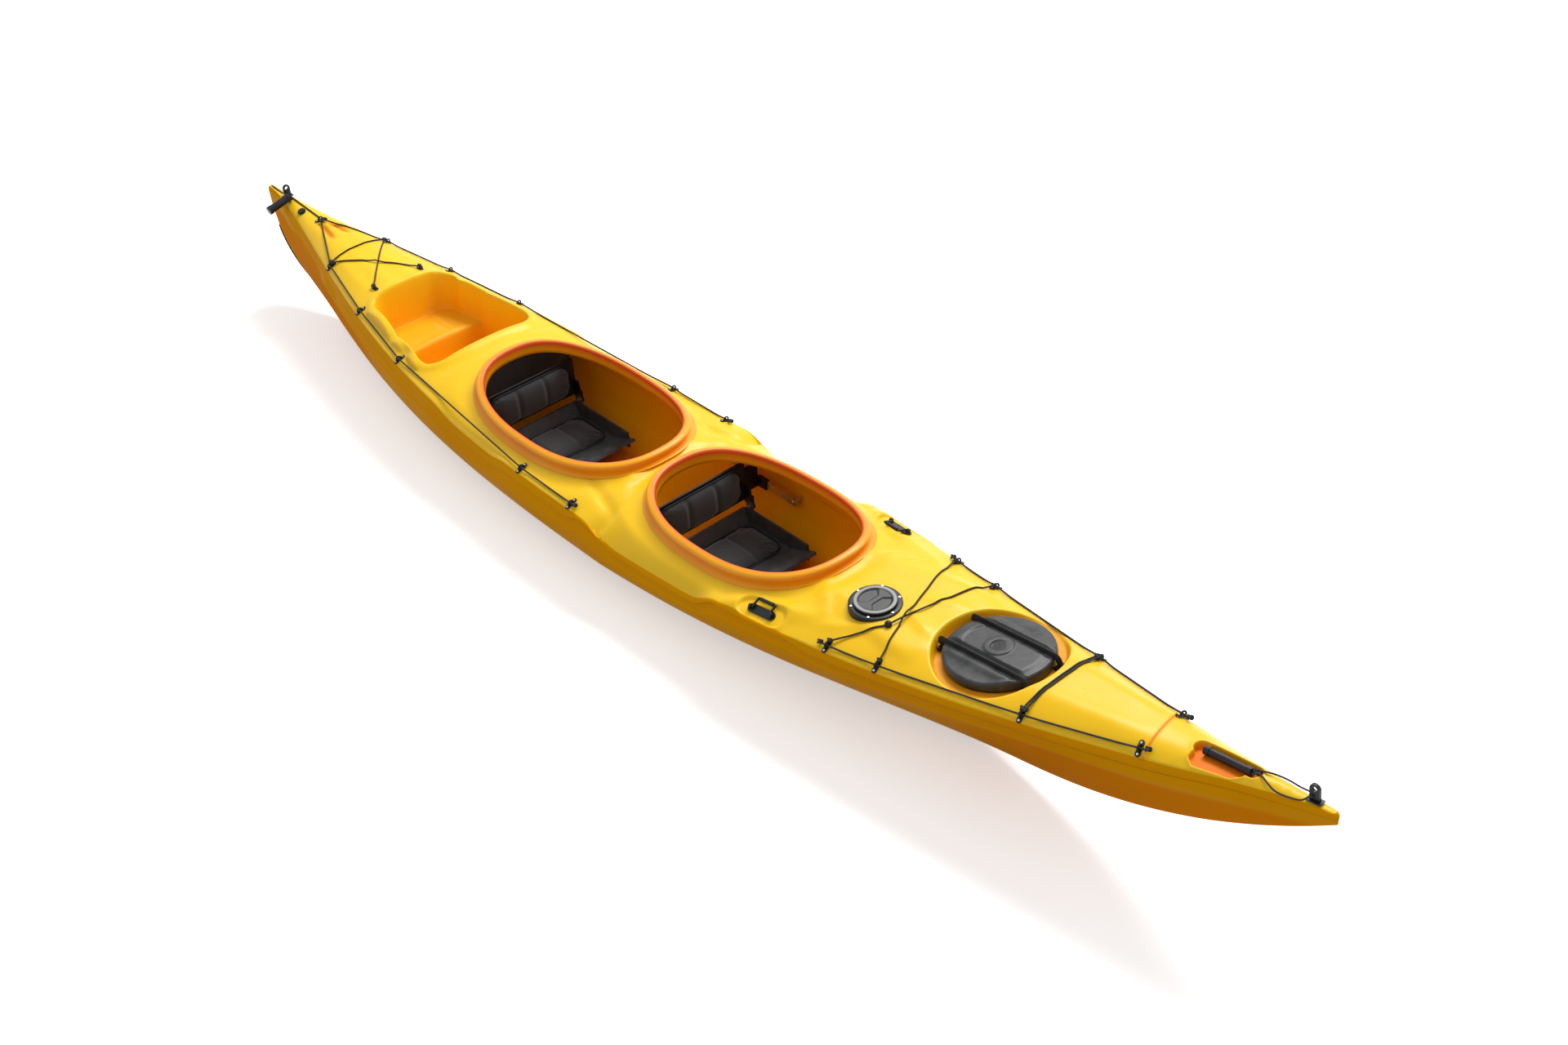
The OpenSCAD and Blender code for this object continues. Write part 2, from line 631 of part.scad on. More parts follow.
// Foot braces: rails on feet along the hull's inner sides, and pedals that slide on them
front_rail_x = front_seat_x + 590;
rear_rail_x = rear_seat_x + 610;
rail_t = 10;
rail_h = 28;
foot_r = 8;
foot_gap = 0.4;
aft_foot_slack = 1.4;
fore_foot_slack = 0.6;
front_foot_more = 0.8;
foot_stand = 32;
pedal_fit = 0.3;
rail_screw_r = 3;
function rail_y(x) = in_y(x, rail_z) - foot_stand;
function rail_turn(x) = atan((rail_y(x + rail_l) - rail_y(x))/rail_l);
module at_rail(x, side) {
    mirror([0, side > 0 ? 0 : 1, 0])
        translate([x, rail_y(x), rail_z]) rotate([0, 0, rail_turn(x)]) children();
}
rail_ends = [foot_r + 6, rail_l - foot_r - 6];
function foot_reach(x, e) = (in_y(x + e + foot_r, rail_z - foot_r) - rail_y(x) - e*tan(rail_turn(x)) - foot_gap)
    *cos(rail_turn(x)) - (e < rail_l/2 ? aft_foot_slack : fore_foot_slack) + (x > 0 ? front_foot_more : 0);
module foot_rail(x, side) {
    color("silver") at_rail(x, side) difference() {
        union() {
            translate([0, -rail_t, -rail_h/2]) cube([rail_l, rail_t, rail_h]);
            for (e = rail_ends)
                translate([e, -1, 0]) rotate([-90, 0, 0]) cylinder(h = foot_reach(x, e) + 1, r = foot_r);
        }
        for (e = rail_ends)
            translate([e, -rail_t - 1, 0]) rotate([-90, 0, 0])
                cylinder(h = rail_t + 8, r = rail_screw_r + 0.1);
    }
}
module front_rail_port() foot_rail(front_rail_x, 1);
module front_rail_stbd() foot_rail(front_rail_x, -1);
module rear_rail_port() foot_rail(rear_rail_x, 1);
module rear_rail_stbd() foot_rail(rear_rail_x, -1);
module rail_screws() {
    color("silver")
        for (x = [front_rail_x, rear_rail_x], side = [-1, 1], e = rail_ends)
            at_rail(x, side) translate([e, -rail_t, 0]) rotate([-90, 0, 0]) {
                cylinder(h = rail_t + 5, r = rail_screw_r);
                translate([0, 0, -2.5]) cylinder(h = 2.5, r = 5);
            }
}
pedal_l = 50;
pedal_w = 62;
pedal_h = 100;
pedal_t = 8;
pedal_wall = 5;
module pedal(x, side) {
    color(black) at_rail(x, side) translate([rail_l/2 - pedal_l/2, 0, 0]) {
        difference() {
            translate([0, -rail_t - pedal_wall - 3, -rail_h/2 - pedal_wall])
                cube([pedal_l, rail_t + pedal_wall + 4, rail_h + 2*pedal_wall]);
            translate([-1, -rail_t - pedal_fit - 3, -rail_h/2 - pedal_fit])
                cube([pedal_l + 2, rail_t + 20, rail_h + 2*pedal_fit]);
        }
        translate([0, -rail_t - 3 - pedal_w, -pedal_h*0.2]) cube([pedal_t, pedal_w - 1, pedal_h]);
    }
}
module front_pedal_port() pedal(front_rail_x, 1);
module front_pedal_stbd() pedal(front_rail_x, -1);
module rear_pedal_port() pedal(rear_rail_x, 1);
module rear_pedal_stbd() pedal(rear_rail_x, -1);

// Deck eyes: stations along the gunwale, each with a port and a starboard eye, and the single stern eye
eye_inset = 27;
fore_eyes = [half_l - 555, half_l - 910, hatch_x - 255, plate_x - 6];
aft_eyes = [-105, -400, well_front - 160, well_rear - 7, -half_l + 705];
tail_eye_x = -half_l + 417;
well_eye_x = well_rear - 48;
well_eye_y = 105;
function eye_y(x) = half_beam(x) - eye_inset;
function eye_yaw(x) = atan((eye_y(x + 60) - eye_y(x - 60))/120);
eye_bar = 6;
eye_r = line_d/2 + eye_clear;
eye_base_l = 4*eye_r + 26;
eye_base_w = 16;
eye_base_t = 3;
eye_seat = 0.3;
eye_screw_at = eye_base_l/2 - 8;
eye_screw_r = 2;
eye_bore_z = eye_base_t + line_d/2 + 0.8;
module each_eye() {
    for (x = concat(fore_eyes, aft_eyes), side = [-1, 1])
        on_deck(x, side*eye_y(x), side*eye_yaw(x)) children();
    for (side = [-1, 1])
        on_deck(well_eye_x, side*well_eye_y, 90) children();
    on_deck(tail_eye_x, 0) children();
}
module deck_eyes() {
    color(black) each_eye() translate([0, 0, eye_seat]) difference() {
        union() {
            linear_extrude(eye_base_t) union() {
                square([eye_base_w, eye_base_l - eye_base_w], center = true);
                for (end = [-1, 1])
                    translate([0, end*(eye_base_l - eye_base_w)/2]) circle(d = eye_base_w);
            }
            translate([0, 0, eye_bore_z]) rotate([90, 0, 90])
                rotate_extrude(angle = 180) translate([eye_r + eye_bar/2, 0]) circle(d = eye_bar);
            for (end = [-1, 1])
                translate([0, end*(eye_r + eye_bar/2), 0]) cylinder(h = eye_bore_z, d = eye_bar);
        }
        for (end = [-1, 1])
            translate([0, end*eye_screw_at, -1]) cylinder(h = 9, r = eye_screw_r + 0.1);
    }
}
module deck_eye_screws() {
    color("silver") each_eye() translate([0, 0, eye_seat])
        for (end = [-1, 1])
            translate([0, end*eye_screw_at, 0]) {
                translate([0, 0, eye_base_t]) cylinder(h = 1.8, r = 3.4);
                translate([0, 0, -wall]) cylinder(h = wall + eye_base_t + 1, r = eye_screw_r);
            }
}

// Cords: each runs from eye to eye close over the deck
cord_gap = 1;
function on_skin(x, y, lift) = [x, y, deck_z(x, y)] + deck_normal(x, y)*lift;
function mixed(p, q, t) = p + (q - p)*t;
function near(d) = max(0, 1 - max(0, d - 12)/40);
function skin_run(p, q, n, low, high) = [for (i = [0:n]) let (t = i/n, m = mixed(p, q, t))
    on_skin(m[0], m[1], low + (high - low)*near(min(t, 1 - t)*norm(q - p)))];
line_low = line_d/2 + cord_gap;
line_high = eye_seat + eye_bore_z;
line_end = 26;
tail_stop = tail_eye_x + eye_r + eye_bar + 10;
function line_place(x, side) = [x, side*(x > tail_stop + 1 ? eye_y(x) : 9)];
module deck_line(xs, side, n) {
    last = len(xs) - 2;
    tube([for (i = [0:last])
        let (s = skin_run(line_place(xs[i], side), line_place(xs[i + 1], side), n, line_low,
        line_high)) each [for (k = [0:i == last ? n : n - 1]) s[k]]], line_d);
}
fore_run = concat([fore_eyes[0] + line_end], fore_eyes, [fore_eyes[3] - line_end]);
aft_run = concat([aft_eyes[0] + line_end], aft_eyes, [tail_stop]);
module fore_line_port() color(black) deck_line(fore_run, 1, 6);
module fore_line_stbd() color(black) deck_line(fore_run, -1, 6);
module aft_line_port() color(black) deck_line(aft_run, 1, 6);
module aft_line_stbd() color(black) deck_line(aft_run, -1, 6);

// Shock cords: each stops at the inner side of the eyes that hold it
bungee_low = bungee_d/2 + cord_gap;
bungee_end = eye_r + eye_bar + 1.5;
function eye_stop(x, side) = [x, side*(eye_y(x) - bungee_end)];
function ridge(t, at) = abs(t - at) < 0.12 ? pow(cos(90*(t - at)/0.12), 2) : 0;
eye_over = eye_seat + eye_base_t + 2.6;
function slack(d) = max(0, 1 - d/60);
function bungee_run(p, q, n, jump = 0, at = 0.5, lift = [1, 1]) = [for (i = [0:n])
    let (t = i/n, m = mixed(p, q, t), l = norm(q - p))
    on_skin(m[0], m[1], bungee_low + jump*ridge(t, at)
        + eye_over*(lift[0]*slack(t*l) + lift[1]*slack((1 - t)*l)))];
over = bungee_d + cord_gap;
bead_r = 12;
bead_at = [1225, -130];
bead_from = eye_stop(fore_eyes[3], -1);
module fore_bungee_port() {
    a = bungee_run(bead_from, bead_at, 6, 0, 0.5, [1, 0]);
    b = bungee_run(bead_at, eye_stop(fore_eyes[2], 1), 10, 0, 0.5, [0, 1]);
    color(black) tube(concat([for (i = [0:5]) a[i] + [0, 0, bead_lift*pow(i/6, 3)]],
        [for (i = [0:10]) b[i] + [0, 0, bead_lift*pow(1 - i/10, 3)]]), bungee_d);
}
bead_lift = bead_r - bungee_low + 1;
module fore_bungee_stbd() {
    color(black)
        tube(bungee_run(eye_stop(fore_eyes[2], -1), eye_stop(fore_eyes[3], 1), 20, over*2, 0.335), bungee_d);
}
bead_bore = bungee_d/2 + 4;
module bungee_bead() {
    turn = atan2(bead_at[1] - bead_from[1], bead_at[0] - bead_from[0]);
    color(black) translate(on_skin(bead_at[0], bead_at[1], bungee_low) + [0, 0, bead_lift])
        rotate([0, 90, (turn + 79)/2])
            difference() {
                sphere(r = bead_r);
                cylinder(h = bead_r*3, r = bead_bore, center = true);
            }
}
module bow_bungee() {
    color(black)
        for (shift = [-1, 1])
            tube(bungee_run(eye_stop(fore_eyes[1], -1) + [shift*bungee_d*0.7, 0],
                eye_stop(fore_eyes[1], 1) + [shift*bungee_d*0.7, 0], 10), bungee_d);
}
function well_stop(side) = [well_eye_x - bungee_end, side*well_eye_y];
module stern_bungee() {
    color(black) {
        tube(bungee_run(eye_stop(aft_eyes[4], 1), well_stop(-1), 10), bungee_d);
        tube(bungee_run(eye_stop(aft_eyes[4], -1), well_stop(1), 20, over*1.3), bungee_d);
        tube(bungee_run(eye_stop(aft_eyes[4], -1) - [bungee_d + 1.5, 0],
            eye_stop(aft_eyes[4], 1) - [bungee_d + 1.5, 0], 10), bungee_d);
    }
}
module stern_cord() {
    color(black) tube([for (i = [0:8])
        on_skin(mixed([tail_eye_x - bungee_end, 0], [stern_eye_x + 16, 0], i/8)[0], 5,
        line_low - 0.6)], line_d);
}

// Bow and stern eyes: an upright ring plate on a base, with a lower hole for the handle's cord
tip_eye_t = 9;
tip_eye_r = 8;
tip_eye_up = 40;
tip_eye_out = 15;
cord_d = 5;
cord_hole = cord_d/2 + 0.6;
tip_base = 4;
module tip_eye() {
    difference() {
        union() {
            translate([-22, -tip_w/2 + 3, 0.3]) cube([44, tip_w - 6, tip_base]);
            rotate([90, 0, 0]) translate([0, 0, -tip_eye_t/2]) {
                translate([0, tip_eye_up, 0]) cylinder(h = tip_eye_t, r = tip_eye_out);
                translate([-tip_eye_out, 0.3, 0]) cube([tip_eye_out*2, tip_eye_up - 0.3, tip_eye_t]);
            }
        }
        translate([0, tip_eye_t, tip_eye_up]) rotate([90, 0, 0]) cylinder(h = tip_eye_t*2, r = tip_eye_r);
        translate([0, tip_eye_t, bow_eye_rise]) rotate([90, 0, 0]) cylinder(h = tip_eye_t*2, r = cord_hole);
    }
}
module bow_eye() color(black) on_deck(bow_eye_x, 0) tip_eye();
stern_eye_x = -half_l + 155;
module stern_eye() color(black) on_deck(stern_eye_x, 0, 90) tip_eye();

// Carrying handles: a cord loop through the eye's lower hole, tied into a toggle grip
loop_half = tip_eye_t/2 + 6;
loop_wide = 24;
toggle_up = toggle_d/2 - pocket_deep + 1.5;
pocket_floor = on_skin(pocket_x, 0, toggle_up);
toggle_axis = deck_along(pocket_x, 0, 0);
toggle_nose = pocket_floor + toggle_axis*(toggle_l/2);
bow_pivot = on_skin(bow_eye_x, 0, bow_eye_rise);
function bow_leg(side) = [bow_pivot + [0, side*(tip_eye_t/2 + 2), 0], bow_pivot + [-3, side*loop_half, -1],
    on_skin(bow_eye_x - 26, side*(loop_half + 4), cord_d/2 + tip_base + 2),
    on_skin(bow_eye_x - 60, side*(loop_wide - 3), cord_d/2 + 3),
    on_skin(bow_eye_x - 100, side*loop_wide, cord_d/2 + 3),
    on_skin(bow_eye_x - 135, side*(loop_wide - 8), cord_d/2 + 3),
    on_skin(pocket_x + pocket_half + 3, side*8, cord_d/2 + 3),
    toggle_nose + [12, side*4, 10], toggle_nose + [1, side*3.2, 2]];
module bow_handle_cord() color(black) tube(concat(flip(bow_leg(-1)), bow_leg(1)), cord_d);
module grip(long, thick) {
    rotate([0, 90, 0]) {
        cylinder(h = long, d = thick - 3, center = true);
        for (end = [-1, 1])
            translate([0, 0, end*(long/2 - 8)]) cylinder(h = 16, d = thick, center = true);
    }
}
module bow_toggle() {
    color(black) translate(pocket_floor)
        multmatrix([[toggle_axis[0], 0, -toggle_axis[2], 0], [0, 1, 0, 0],
                [toggle_axis[2], 0, toggle_axis[0], 0], [0, 0, 0, 1]])
            grip(toggle_l, toggle_d);
}
stern_pivot = on_skin(stern_eye_x, 0, bow_eye_rise);
stern_lean = 14;
stern_grip_x = stern_eye_x + 42;
stern_end = [stern_grip_x, -10, deck_z(stern_grip_x, -10) + stern_toggle_d/2 + 3];
stern_down = [0, -cos(stern_lean), -sin(stern_lean)];
stern_grip_at = stern_end + stern_down*stern_toggle_l/2;
stern_tie = [stern_pivot - [13, 0, 0], stern_pivot - [6, 0, 0], stern_pivot + [6, 0, 0],
    stern_pivot + [14, 1, 0],
    stern_pivot + [24, 4, 0], stern_end + [-8, 13, 2], stern_end + [-2, 8, 1], stern_end + stern_down*3];
module stern_handle_cord() {
    color(black) {
        tube(stern_tie, cord_d);
        translate(stern_pivot - [13, 0, 0]) sphere(d = cord_d*2.2, $fn = 16);
    }
}
module stern_toggle() color(black) translate(stern_grip_at) rotate([stern_lean, 0, 0]) rotate([0, 0, 90])
    grip(stern_toggle_l, stern_toggle_d);

// Skid plate: a strip round the lower stern post
skid_t = 5;
skid_w = 16;
skid_from = half_l - 330;
skid_to = half_l - 12;
skid_n = 16;
function skid_x(i) = -skid_from - (skid_to - skid_from)*sin(90*i/skid_n);
function skid_slope(x) = (keel(x + 1) - keel(x - 1))/2;
function skid_point(x, t) = let (n = unit([skid_slope(x), -1])) [x, keel(x)] + n*t;
module stern_skid_plate() {
    color(black) rotate([90, 0, 0]) translate([0, 0, -skid_w/2]) linear_extrude(skid_w)
        polygon(concat([for (i = [0:skid_n]) skid_point(skid_x(i), 0.4)],
            [for (i = [skid_n:-1:0]) skid_point(skid_x(i), skid_t)]));
}

// Side handles: a bail that folds flat on its base
base_l = 112;
base_w = 30;
base_t = 4;
lug_x = 44;
lug_t = 8;
lug_r = 7;
lug_up = base_t + 6;
bail_r = 4;
bail_out = 34;
trunnion_r = 3;
module at_handle(side) {
    on_deck(handle_x, side*handle_y, side*handle_yaw) translate([0, 0, -dimple_deep + 0.3])
        mirror([0, side > 0 ? 0 : 1, 0]) children();
}
module handle_base() {
    difference() {
        union() {
            linear_extrude(base_t) union() {
                square([base_l - base_w, base_w], center = true);
                for (end = [-1, 1])
                    translate([end*(base_l - base_w)/2, 0]) circle(d = base_w);
            }
            for (end = [-1, 1])
                translate([end*lug_x - lug_t/2, 0, 0]) {
                    translate([0, 0, lug_up]) rotate([0, 90, 0]) cylinder(h = lug_t, r = lug_r);
                    translate([0, -lug_r, 0]) cube([lug_t, lug_r*2, lug_up]);
                }
        }
        translate([-base_l, 0, lug_up]) rotate([0, 90, 0]) cylinder(h = base_l*2, r = trunnion_r + pin_fit);
    }
}
module side_handle_bases() {
    color(black)
        for (side = [-1, 1])
            at_handle(side) handle_base();
}
leg_x = lug_x - lug_t/2 - joint_gap - bail_r;
module bail() {
    translate([-lug_x - lug_t/2, 0, lug_up]) rotate([0, 90, 0]) cylinder(h = lug_t + 3, r = trunnion_r);
    translate([lug_x - lug_t/2 - 3, 0, lug_up]) rotate([0, 90, 0]) cylinder(h = lug_t + 3, r = trunnion_r);
    for (end = [-1, 1])
        translate([end*leg_x, 0, lug_up]) {
            rotate([-90, 0, 0]) cylinder(h = bail_out, r = bail_r);
            sphere(r = bail_r);
            translate([0, bail_out, 0]) sphere(r = bail_r);
        }
    translate([-leg_x, bail_out, lug_up]) rotate([0, 90, 0]) cylinder(h = leg_x*2, r = bail_r);
    translate([-leg_x + 8, bail_out, lug_up]) rotate([0, 90, 0]) cylinder(h = leg_x*2 - 16, r = bail_r + 2);
}
module side_handle_port() color(black) at_handle(1) mirror([0, 1, 0]) bail();
module side_handle_stbd() color(black) at_handle(-1) mirror([0, 1, 0]) bail();

// Drain: a seat on the stern deck and a plug that screws into it
drain_x = -half_l + 305;
drain_y = -22;
drain_r = 9;
drain_seat_r = 17;
drain_seat_t = 5;
drain_fit = 0.1;
module drain_seat() {
    color(black) on_deck(drain_x, drain_y) translate([0, 0, 0.8]) difference() {
        cylinder(h = drain_seat_t, r = drain_seat_r);
        translate([0, 0, -1]) cylinder(h = drain_seat_t + 2, r = drain_r + drain_fit);
    }
}
module drain_plug() {
    color(black) on_deck(drain_x, drain_y) translate([0, 0, 0.8]) difference() {
        union() {
            translate([0, 0, 0.4]) cylinder(h = drain_seat_t, r = drain_r);
            translate([0, 0, drain_seat_t + joint_gap]) cylinder(h = 4, r = drain_seat_r - 3);
        }
        translate([-drain_seat_r, -1.5, drain_seat_t + 2.3]) cube([drain_seat_r*2, 3, 6]);
    }
}

lower_hull();
deck();
front_coaming();
rear_coaming();
bow_bulkhead();
stern_bulkhead();
bow_hatch_rim();
bow_hatch_seal();
bow_hatch_lid();
hatch_strap_port();
hatch_strap_stbd();
hatch_buckles();
hatch_strap_anchors();
deck_plate_collar();
deck_plate_screws();
deck_plate_oring();
deck_plate_lid();
front_seat();
front_seat_pad();
front_backrest();
front_backrest_pad();
rear_seat();
rear_seat_pad();
rear_backrest();
rear_backrest_pad();
backrest_pins();
front_rail_port();
front_rail_stbd();
rear_rail_port();
rear_rail_stbd();
front_pedal_port();
front_pedal_stbd();
rear_pedal_port();
rear_pedal_stbd();
rail_screws();
deck_eyes();
deck_eye_screws();
fore_line_port();
fore_line_stbd();
aft_line_port();
aft_line_stbd();
fore_bungee_port();
fore_bungee_stbd();
bungee_bead();
bow_bungee();
stern_bungee();
stern_cord();
bow_eye();
bow_handle_cord();
bow_toggle();
stern_eye();
stern_handle_cord();
stern_toggle();
stern_skid_plate();
side_handle_bases();
side_handle_port();
side_handle_stbd();
drain_seat();
drain_plug();
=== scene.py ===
import math

import bmesh
import bpy
import numpy as np
from mathutils import Matrix, Vector
from mathutils.geometry import delaunay_2d_cdt


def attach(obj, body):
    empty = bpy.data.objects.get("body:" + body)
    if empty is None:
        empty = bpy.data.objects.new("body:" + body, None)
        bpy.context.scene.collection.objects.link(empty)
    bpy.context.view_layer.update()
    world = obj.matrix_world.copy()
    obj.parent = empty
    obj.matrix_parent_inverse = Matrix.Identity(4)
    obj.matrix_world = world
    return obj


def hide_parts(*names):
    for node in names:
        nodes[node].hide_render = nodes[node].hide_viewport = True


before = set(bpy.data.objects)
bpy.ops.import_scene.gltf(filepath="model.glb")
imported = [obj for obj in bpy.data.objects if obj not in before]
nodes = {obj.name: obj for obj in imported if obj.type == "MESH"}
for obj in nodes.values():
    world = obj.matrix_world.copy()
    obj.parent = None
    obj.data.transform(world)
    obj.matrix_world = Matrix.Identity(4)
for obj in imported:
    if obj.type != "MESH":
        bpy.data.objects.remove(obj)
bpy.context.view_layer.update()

scene = bpy.context.scene

# Camera: looks down on the bow from the starboard side, as the photograph does.
# Angles, lens and distance are for a 1920 x 1280 picture.
CAM_AZIMUTH, CAM_ELEVATION, CAM_ROLL = (math.radians(a) for a in (51.439, 36.612, -4.929))
CAM_TARGET = Vector((0.521, 0.069, 0.30))
CAM_DISTANCE = 6.268
CAM_LENS = 43.85
cam_back = Vector((math.sin(CAM_AZIMUTH)*math.cos(CAM_ELEVATION),
                   -math.cos(CAM_AZIMUTH)*math.cos(CAM_ELEVATION), math.sin(CAM_ELEVATION)))
cam_right = (-cam_back).cross(Vector((0, 0, 1))).normalized()
cam_up = cam_right.cross(-cam_back)
cam_x = cam_right*math.cos(CAM_ROLL) + cam_up*math.sin(CAM_ROLL)
cam_y = -cam_right*math.sin(CAM_ROLL) + cam_up*math.cos(CAM_ROLL)
camera = bpy.data.objects.new("photo_camera", bpy.data.cameras.new("photo_camera"))
scene.collection.objects.link(camera)
camera.matrix_world = Matrix((cam_x, cam_y, cam_back)).transposed().to_4x4()
camera.location = CAM_TARGET + cam_back*CAM_DISTANCE
camera.data.sensor_width = 36
camera.data.lens = CAM_LENS
scene.camera = camera
scene.view_settings.view_transform = "Standard"

# Floor and light: a pale studio floor, a large soft key from the port side, which leaves the starboard
# side in shade as in the photograph, and a white world that fills.
FLOOR_HALF, FLOOR_LOW, FLOOR_GLOW = 30.0, -0.001, 0.45
KEY_SIZE, KEY_POWER, KEY_AT, KEY_AIM = (7.0, 3.5), 880, (-1.4, 5.6, 7.6), (0.1, 0.0, 0.2)
SKY_FILL = 0.50


def linear(code):
    """sRGB hex colour to linear RGBA."""
    parts = [int(code[i:i + 2], 16)/255 for i in (1, 3, 5)]
    return tuple(c/12.92 if c <= 0.04045 else ((c + 0.055)/1.055)**2.4 for c in parts) + (1.0,)


def feed(node, values):
    """Links or sets the inputs of a node."""
    for socket, value in values.items():
        if isinstance(value, bpy.types.NodeSocket):
            node.id_data.links.new(value, node.inputs[socket])
        else:
            node.inputs[socket].default_value = value


def add(tree, kind, feeds=None, **settings):
    """Adds one node with its settings, and links or sets its inputs."""
    made = tree.nodes.new(kind)
    for key, value in settings.items():
        setattr(made, key, value)
    feed(made, feeds or {})
    return made


def finish_of(name):
    """A new material, its tree and its shader, which is already joined to the output."""
    made = bpy.data.materials.new(name)
    made.use_nodes = True
    return made, made.node_tree, made.node_tree.nodes["Principled BSDF"]


def in_view(tree):
    """1 for rays from the camera and for those that metal and glass send on, or else 0."""
    path = add(tree, "ShaderNodeLightPath").outputs
    seen = path["Is Camera Ray"]
    for ray in ("Is Glossy Ray", "Is Transmission Ray"):
        seen = add(tree, "ShaderNodeMath", {0: seen, 1: path[ray]}, operation="MAXIMUM").outputs[0]
    return seen


floor_mesh = bpy.data.meshes.new("studio_floor")
floor_corners = [(x*FLOOR_HALF, y*FLOOR_HALF, FLOOR_LOW) for x, y in ((-1, -1), (1, -1), (1, 1), (-1, 1))]
floor_mesh.from_pydata(floor_corners, [], [(0, 1, 2, 3)])
floor = bpy.data.objects.new("studio_floor", floor_mesh)
scene.collection.objects.link(floor)
# Matt paint: white to the eye, and a pale grey to the light that it sends up under the boat.
floor_paint, tree, shader = finish_of("studio_floor_paint")
seen = in_view(tree)
pale = add(tree, "ShaderNodeMix", {"Factor": seen, "A": linear("#b4b3ae"), "B": linear("#ffffff")},
           data_type="RGBA")
glow = add(tree, "ShaderNodeMath", {0: seen, 1: FLOOR_GLOW}, operation="MULTIPLY")
feed(shader, {"Base Color": pale.outputs["Result"], "Emission Color": linear("#ffffff"),
              "Emission Strength": glow.outputs[0], "Roughness": 0.9, "Specular IOR Level": 0.1})
floor_mesh.materials.append(floor_paint)

key = bpy.data.objects.new("key_light", bpy.data.lights.new("key_light", "AREA"))
key.data.shape = "RECTANGLE"
key.data.size, key.data.size_y = KEY_SIZE
key.data.energy = KEY_POWER
key.location = KEY_AT
key.rotation_euler = (Vector(KEY_AIM) - key.location).to_track_quat("-Z", "Y").to_euler()
scene.collection.objects.link(key)
world = bpy.data.worlds.new("studio_world")
scene.world = world
world.use_nodes = True
tree = world.node_tree
tree.nodes.clear()
sky = add(tree, "ShaderNodeBackground", {0: linear("#ffffff"), 1: SKY_FILL})
white = add(tree, "ShaderNodeBackground", {0: linear("#ffffff"), 1: 1.0})
both = add(tree, "ShaderNodeMixShader", {0: in_view(tree), 1: sky.outputs[0], 2: white.outputs[0]})
add(tree, "ShaderNodeOutputWorld", {0: both.outputs[0]})

# Lower hull: the rotomoulded bottom shell in yellow polyethylene, 5 mm thick, with a soft hollow
# along each side under the gunwale. It meets the deck in a fine parting line.
HALF_LENGTH = 2.7
TIP_ROUND = 0.016
WALL, KEEL_WALL = 0.005, 0.0065
SEAM_DEPTH, SEAM_GAP = 0.0092, 0.0012
EDGE_DROP, EDGE_WIDE = 0.024, 0.0125
FRONT_CUT, REAR_CUT = 0.052, 0.022
FLUTE_DEEP, QUARTER_DEEP, NOTCH_DEEP, BAND_OUT = 0.0065, 0.015, 0.011, 0.010
SECTION_OVER = 0.003
SOLID_BOW, SOLID_STERN, SOLID_FADE = 2.46, 2.59, 0.09
DRIFT_MM, PATCH_MM, WAVE_MM, PEEL_MM = 333.3, 200.0, 71.43, 2.5
SCUFF_MM = (500.0, 16.67, 16.67)
RAIL_DEPTHS = np.array([0.0, 0.004, 0.008, 0.012, 0.016, 0.02, 0.024, 0.029, 0.034, 0.038, 0.041, 0.044,
                        0.047, 0.05, 0.055, 0.062, 0.07])
BILGE_N = 22


def u_of(x):
    """Share of the way from amidships to an end."""
    return np.minimum(1.0, np.abs(x)/HALF_LENGTH)


def half_beam(x):
    """Half width at the gunwale, with a rounded tip at each end."""
    u = u_of(x)
    plan = np.where(x >= 0, (1 - u**2.25)**1.4, (1 - u**2.8)**1.6)
    nose = np.sqrt(np.maximum(0, 1 - (np.maximum(0, np.abs(x) - HALF_LENGTH + TIP_ROUND)/TIP_ROUND)**2))
    return (0.015 + 0.355*plan)*nose


def sheer(x):
    """Height of the gunwale."""
    return 0.27 + np.where(x >= 0, 0.28, 0.21)*u_of(x)**2


def keel(x):
    """Height of the keel: level amidships, then a raked stem and a rounder stern."""
    run = np.clip((np.abs(x) - 0.444*HALF_LENGTH)/(0.556*HALF_LENGTH), 0, 1)
    return np.where(x >= 0, 0.52*run**2.3, 0.45*(1 - (1 - run**3.3)**(1/3.3)))


def fullness(x):
    """How full the section is: near a wedge at the bow, full amidships, rounder aft."""
    u = u_of(x)
    return np.where(x >= 0, 1.05 + 2.45*np.maximum(0, 1 - u/0.67)**1.6, 3.5 - 1.5*u**3)


def step(edge0, edge1, value):
    """Smooth step from 0 to 1 between two edges."""
    t = np.clip((value - edge0)/(edge1 - edge0), 0, 1)
    return t*t*t*(t*(6*t - 15) + 10)


def hump(value, a, b, c, d):
    """Smooth rise from 0 to 1 between a and b, and fall back to 0 between c and d."""
    return step(a, b, value)*(1 - step(c, d, value))


def cut_down(x):
    """How far the gunwale is cut down beside a cockpit, for the paddle's stroke."""
    return FRONT_CUT*hump(x, -0.03, 0.17, 0.52, 0.668) + REAR_CUT*hump(x, -1.02, -0.82, -0.62, -0.46)


def edge_drop(x):
    """How far the outer edge of the deck falls below its knuckle, along the deck lines."""
    return EDGE_DROP*(hump(x, 0.94, 1.07, 2.10, 2.50) + hump(x, -2.45, -2.05, -0.14, -0.02))


def carve(x):
    """How far the gunwale lies under the plain sheer."""
    return cut_down(x) + edge_drop(x)


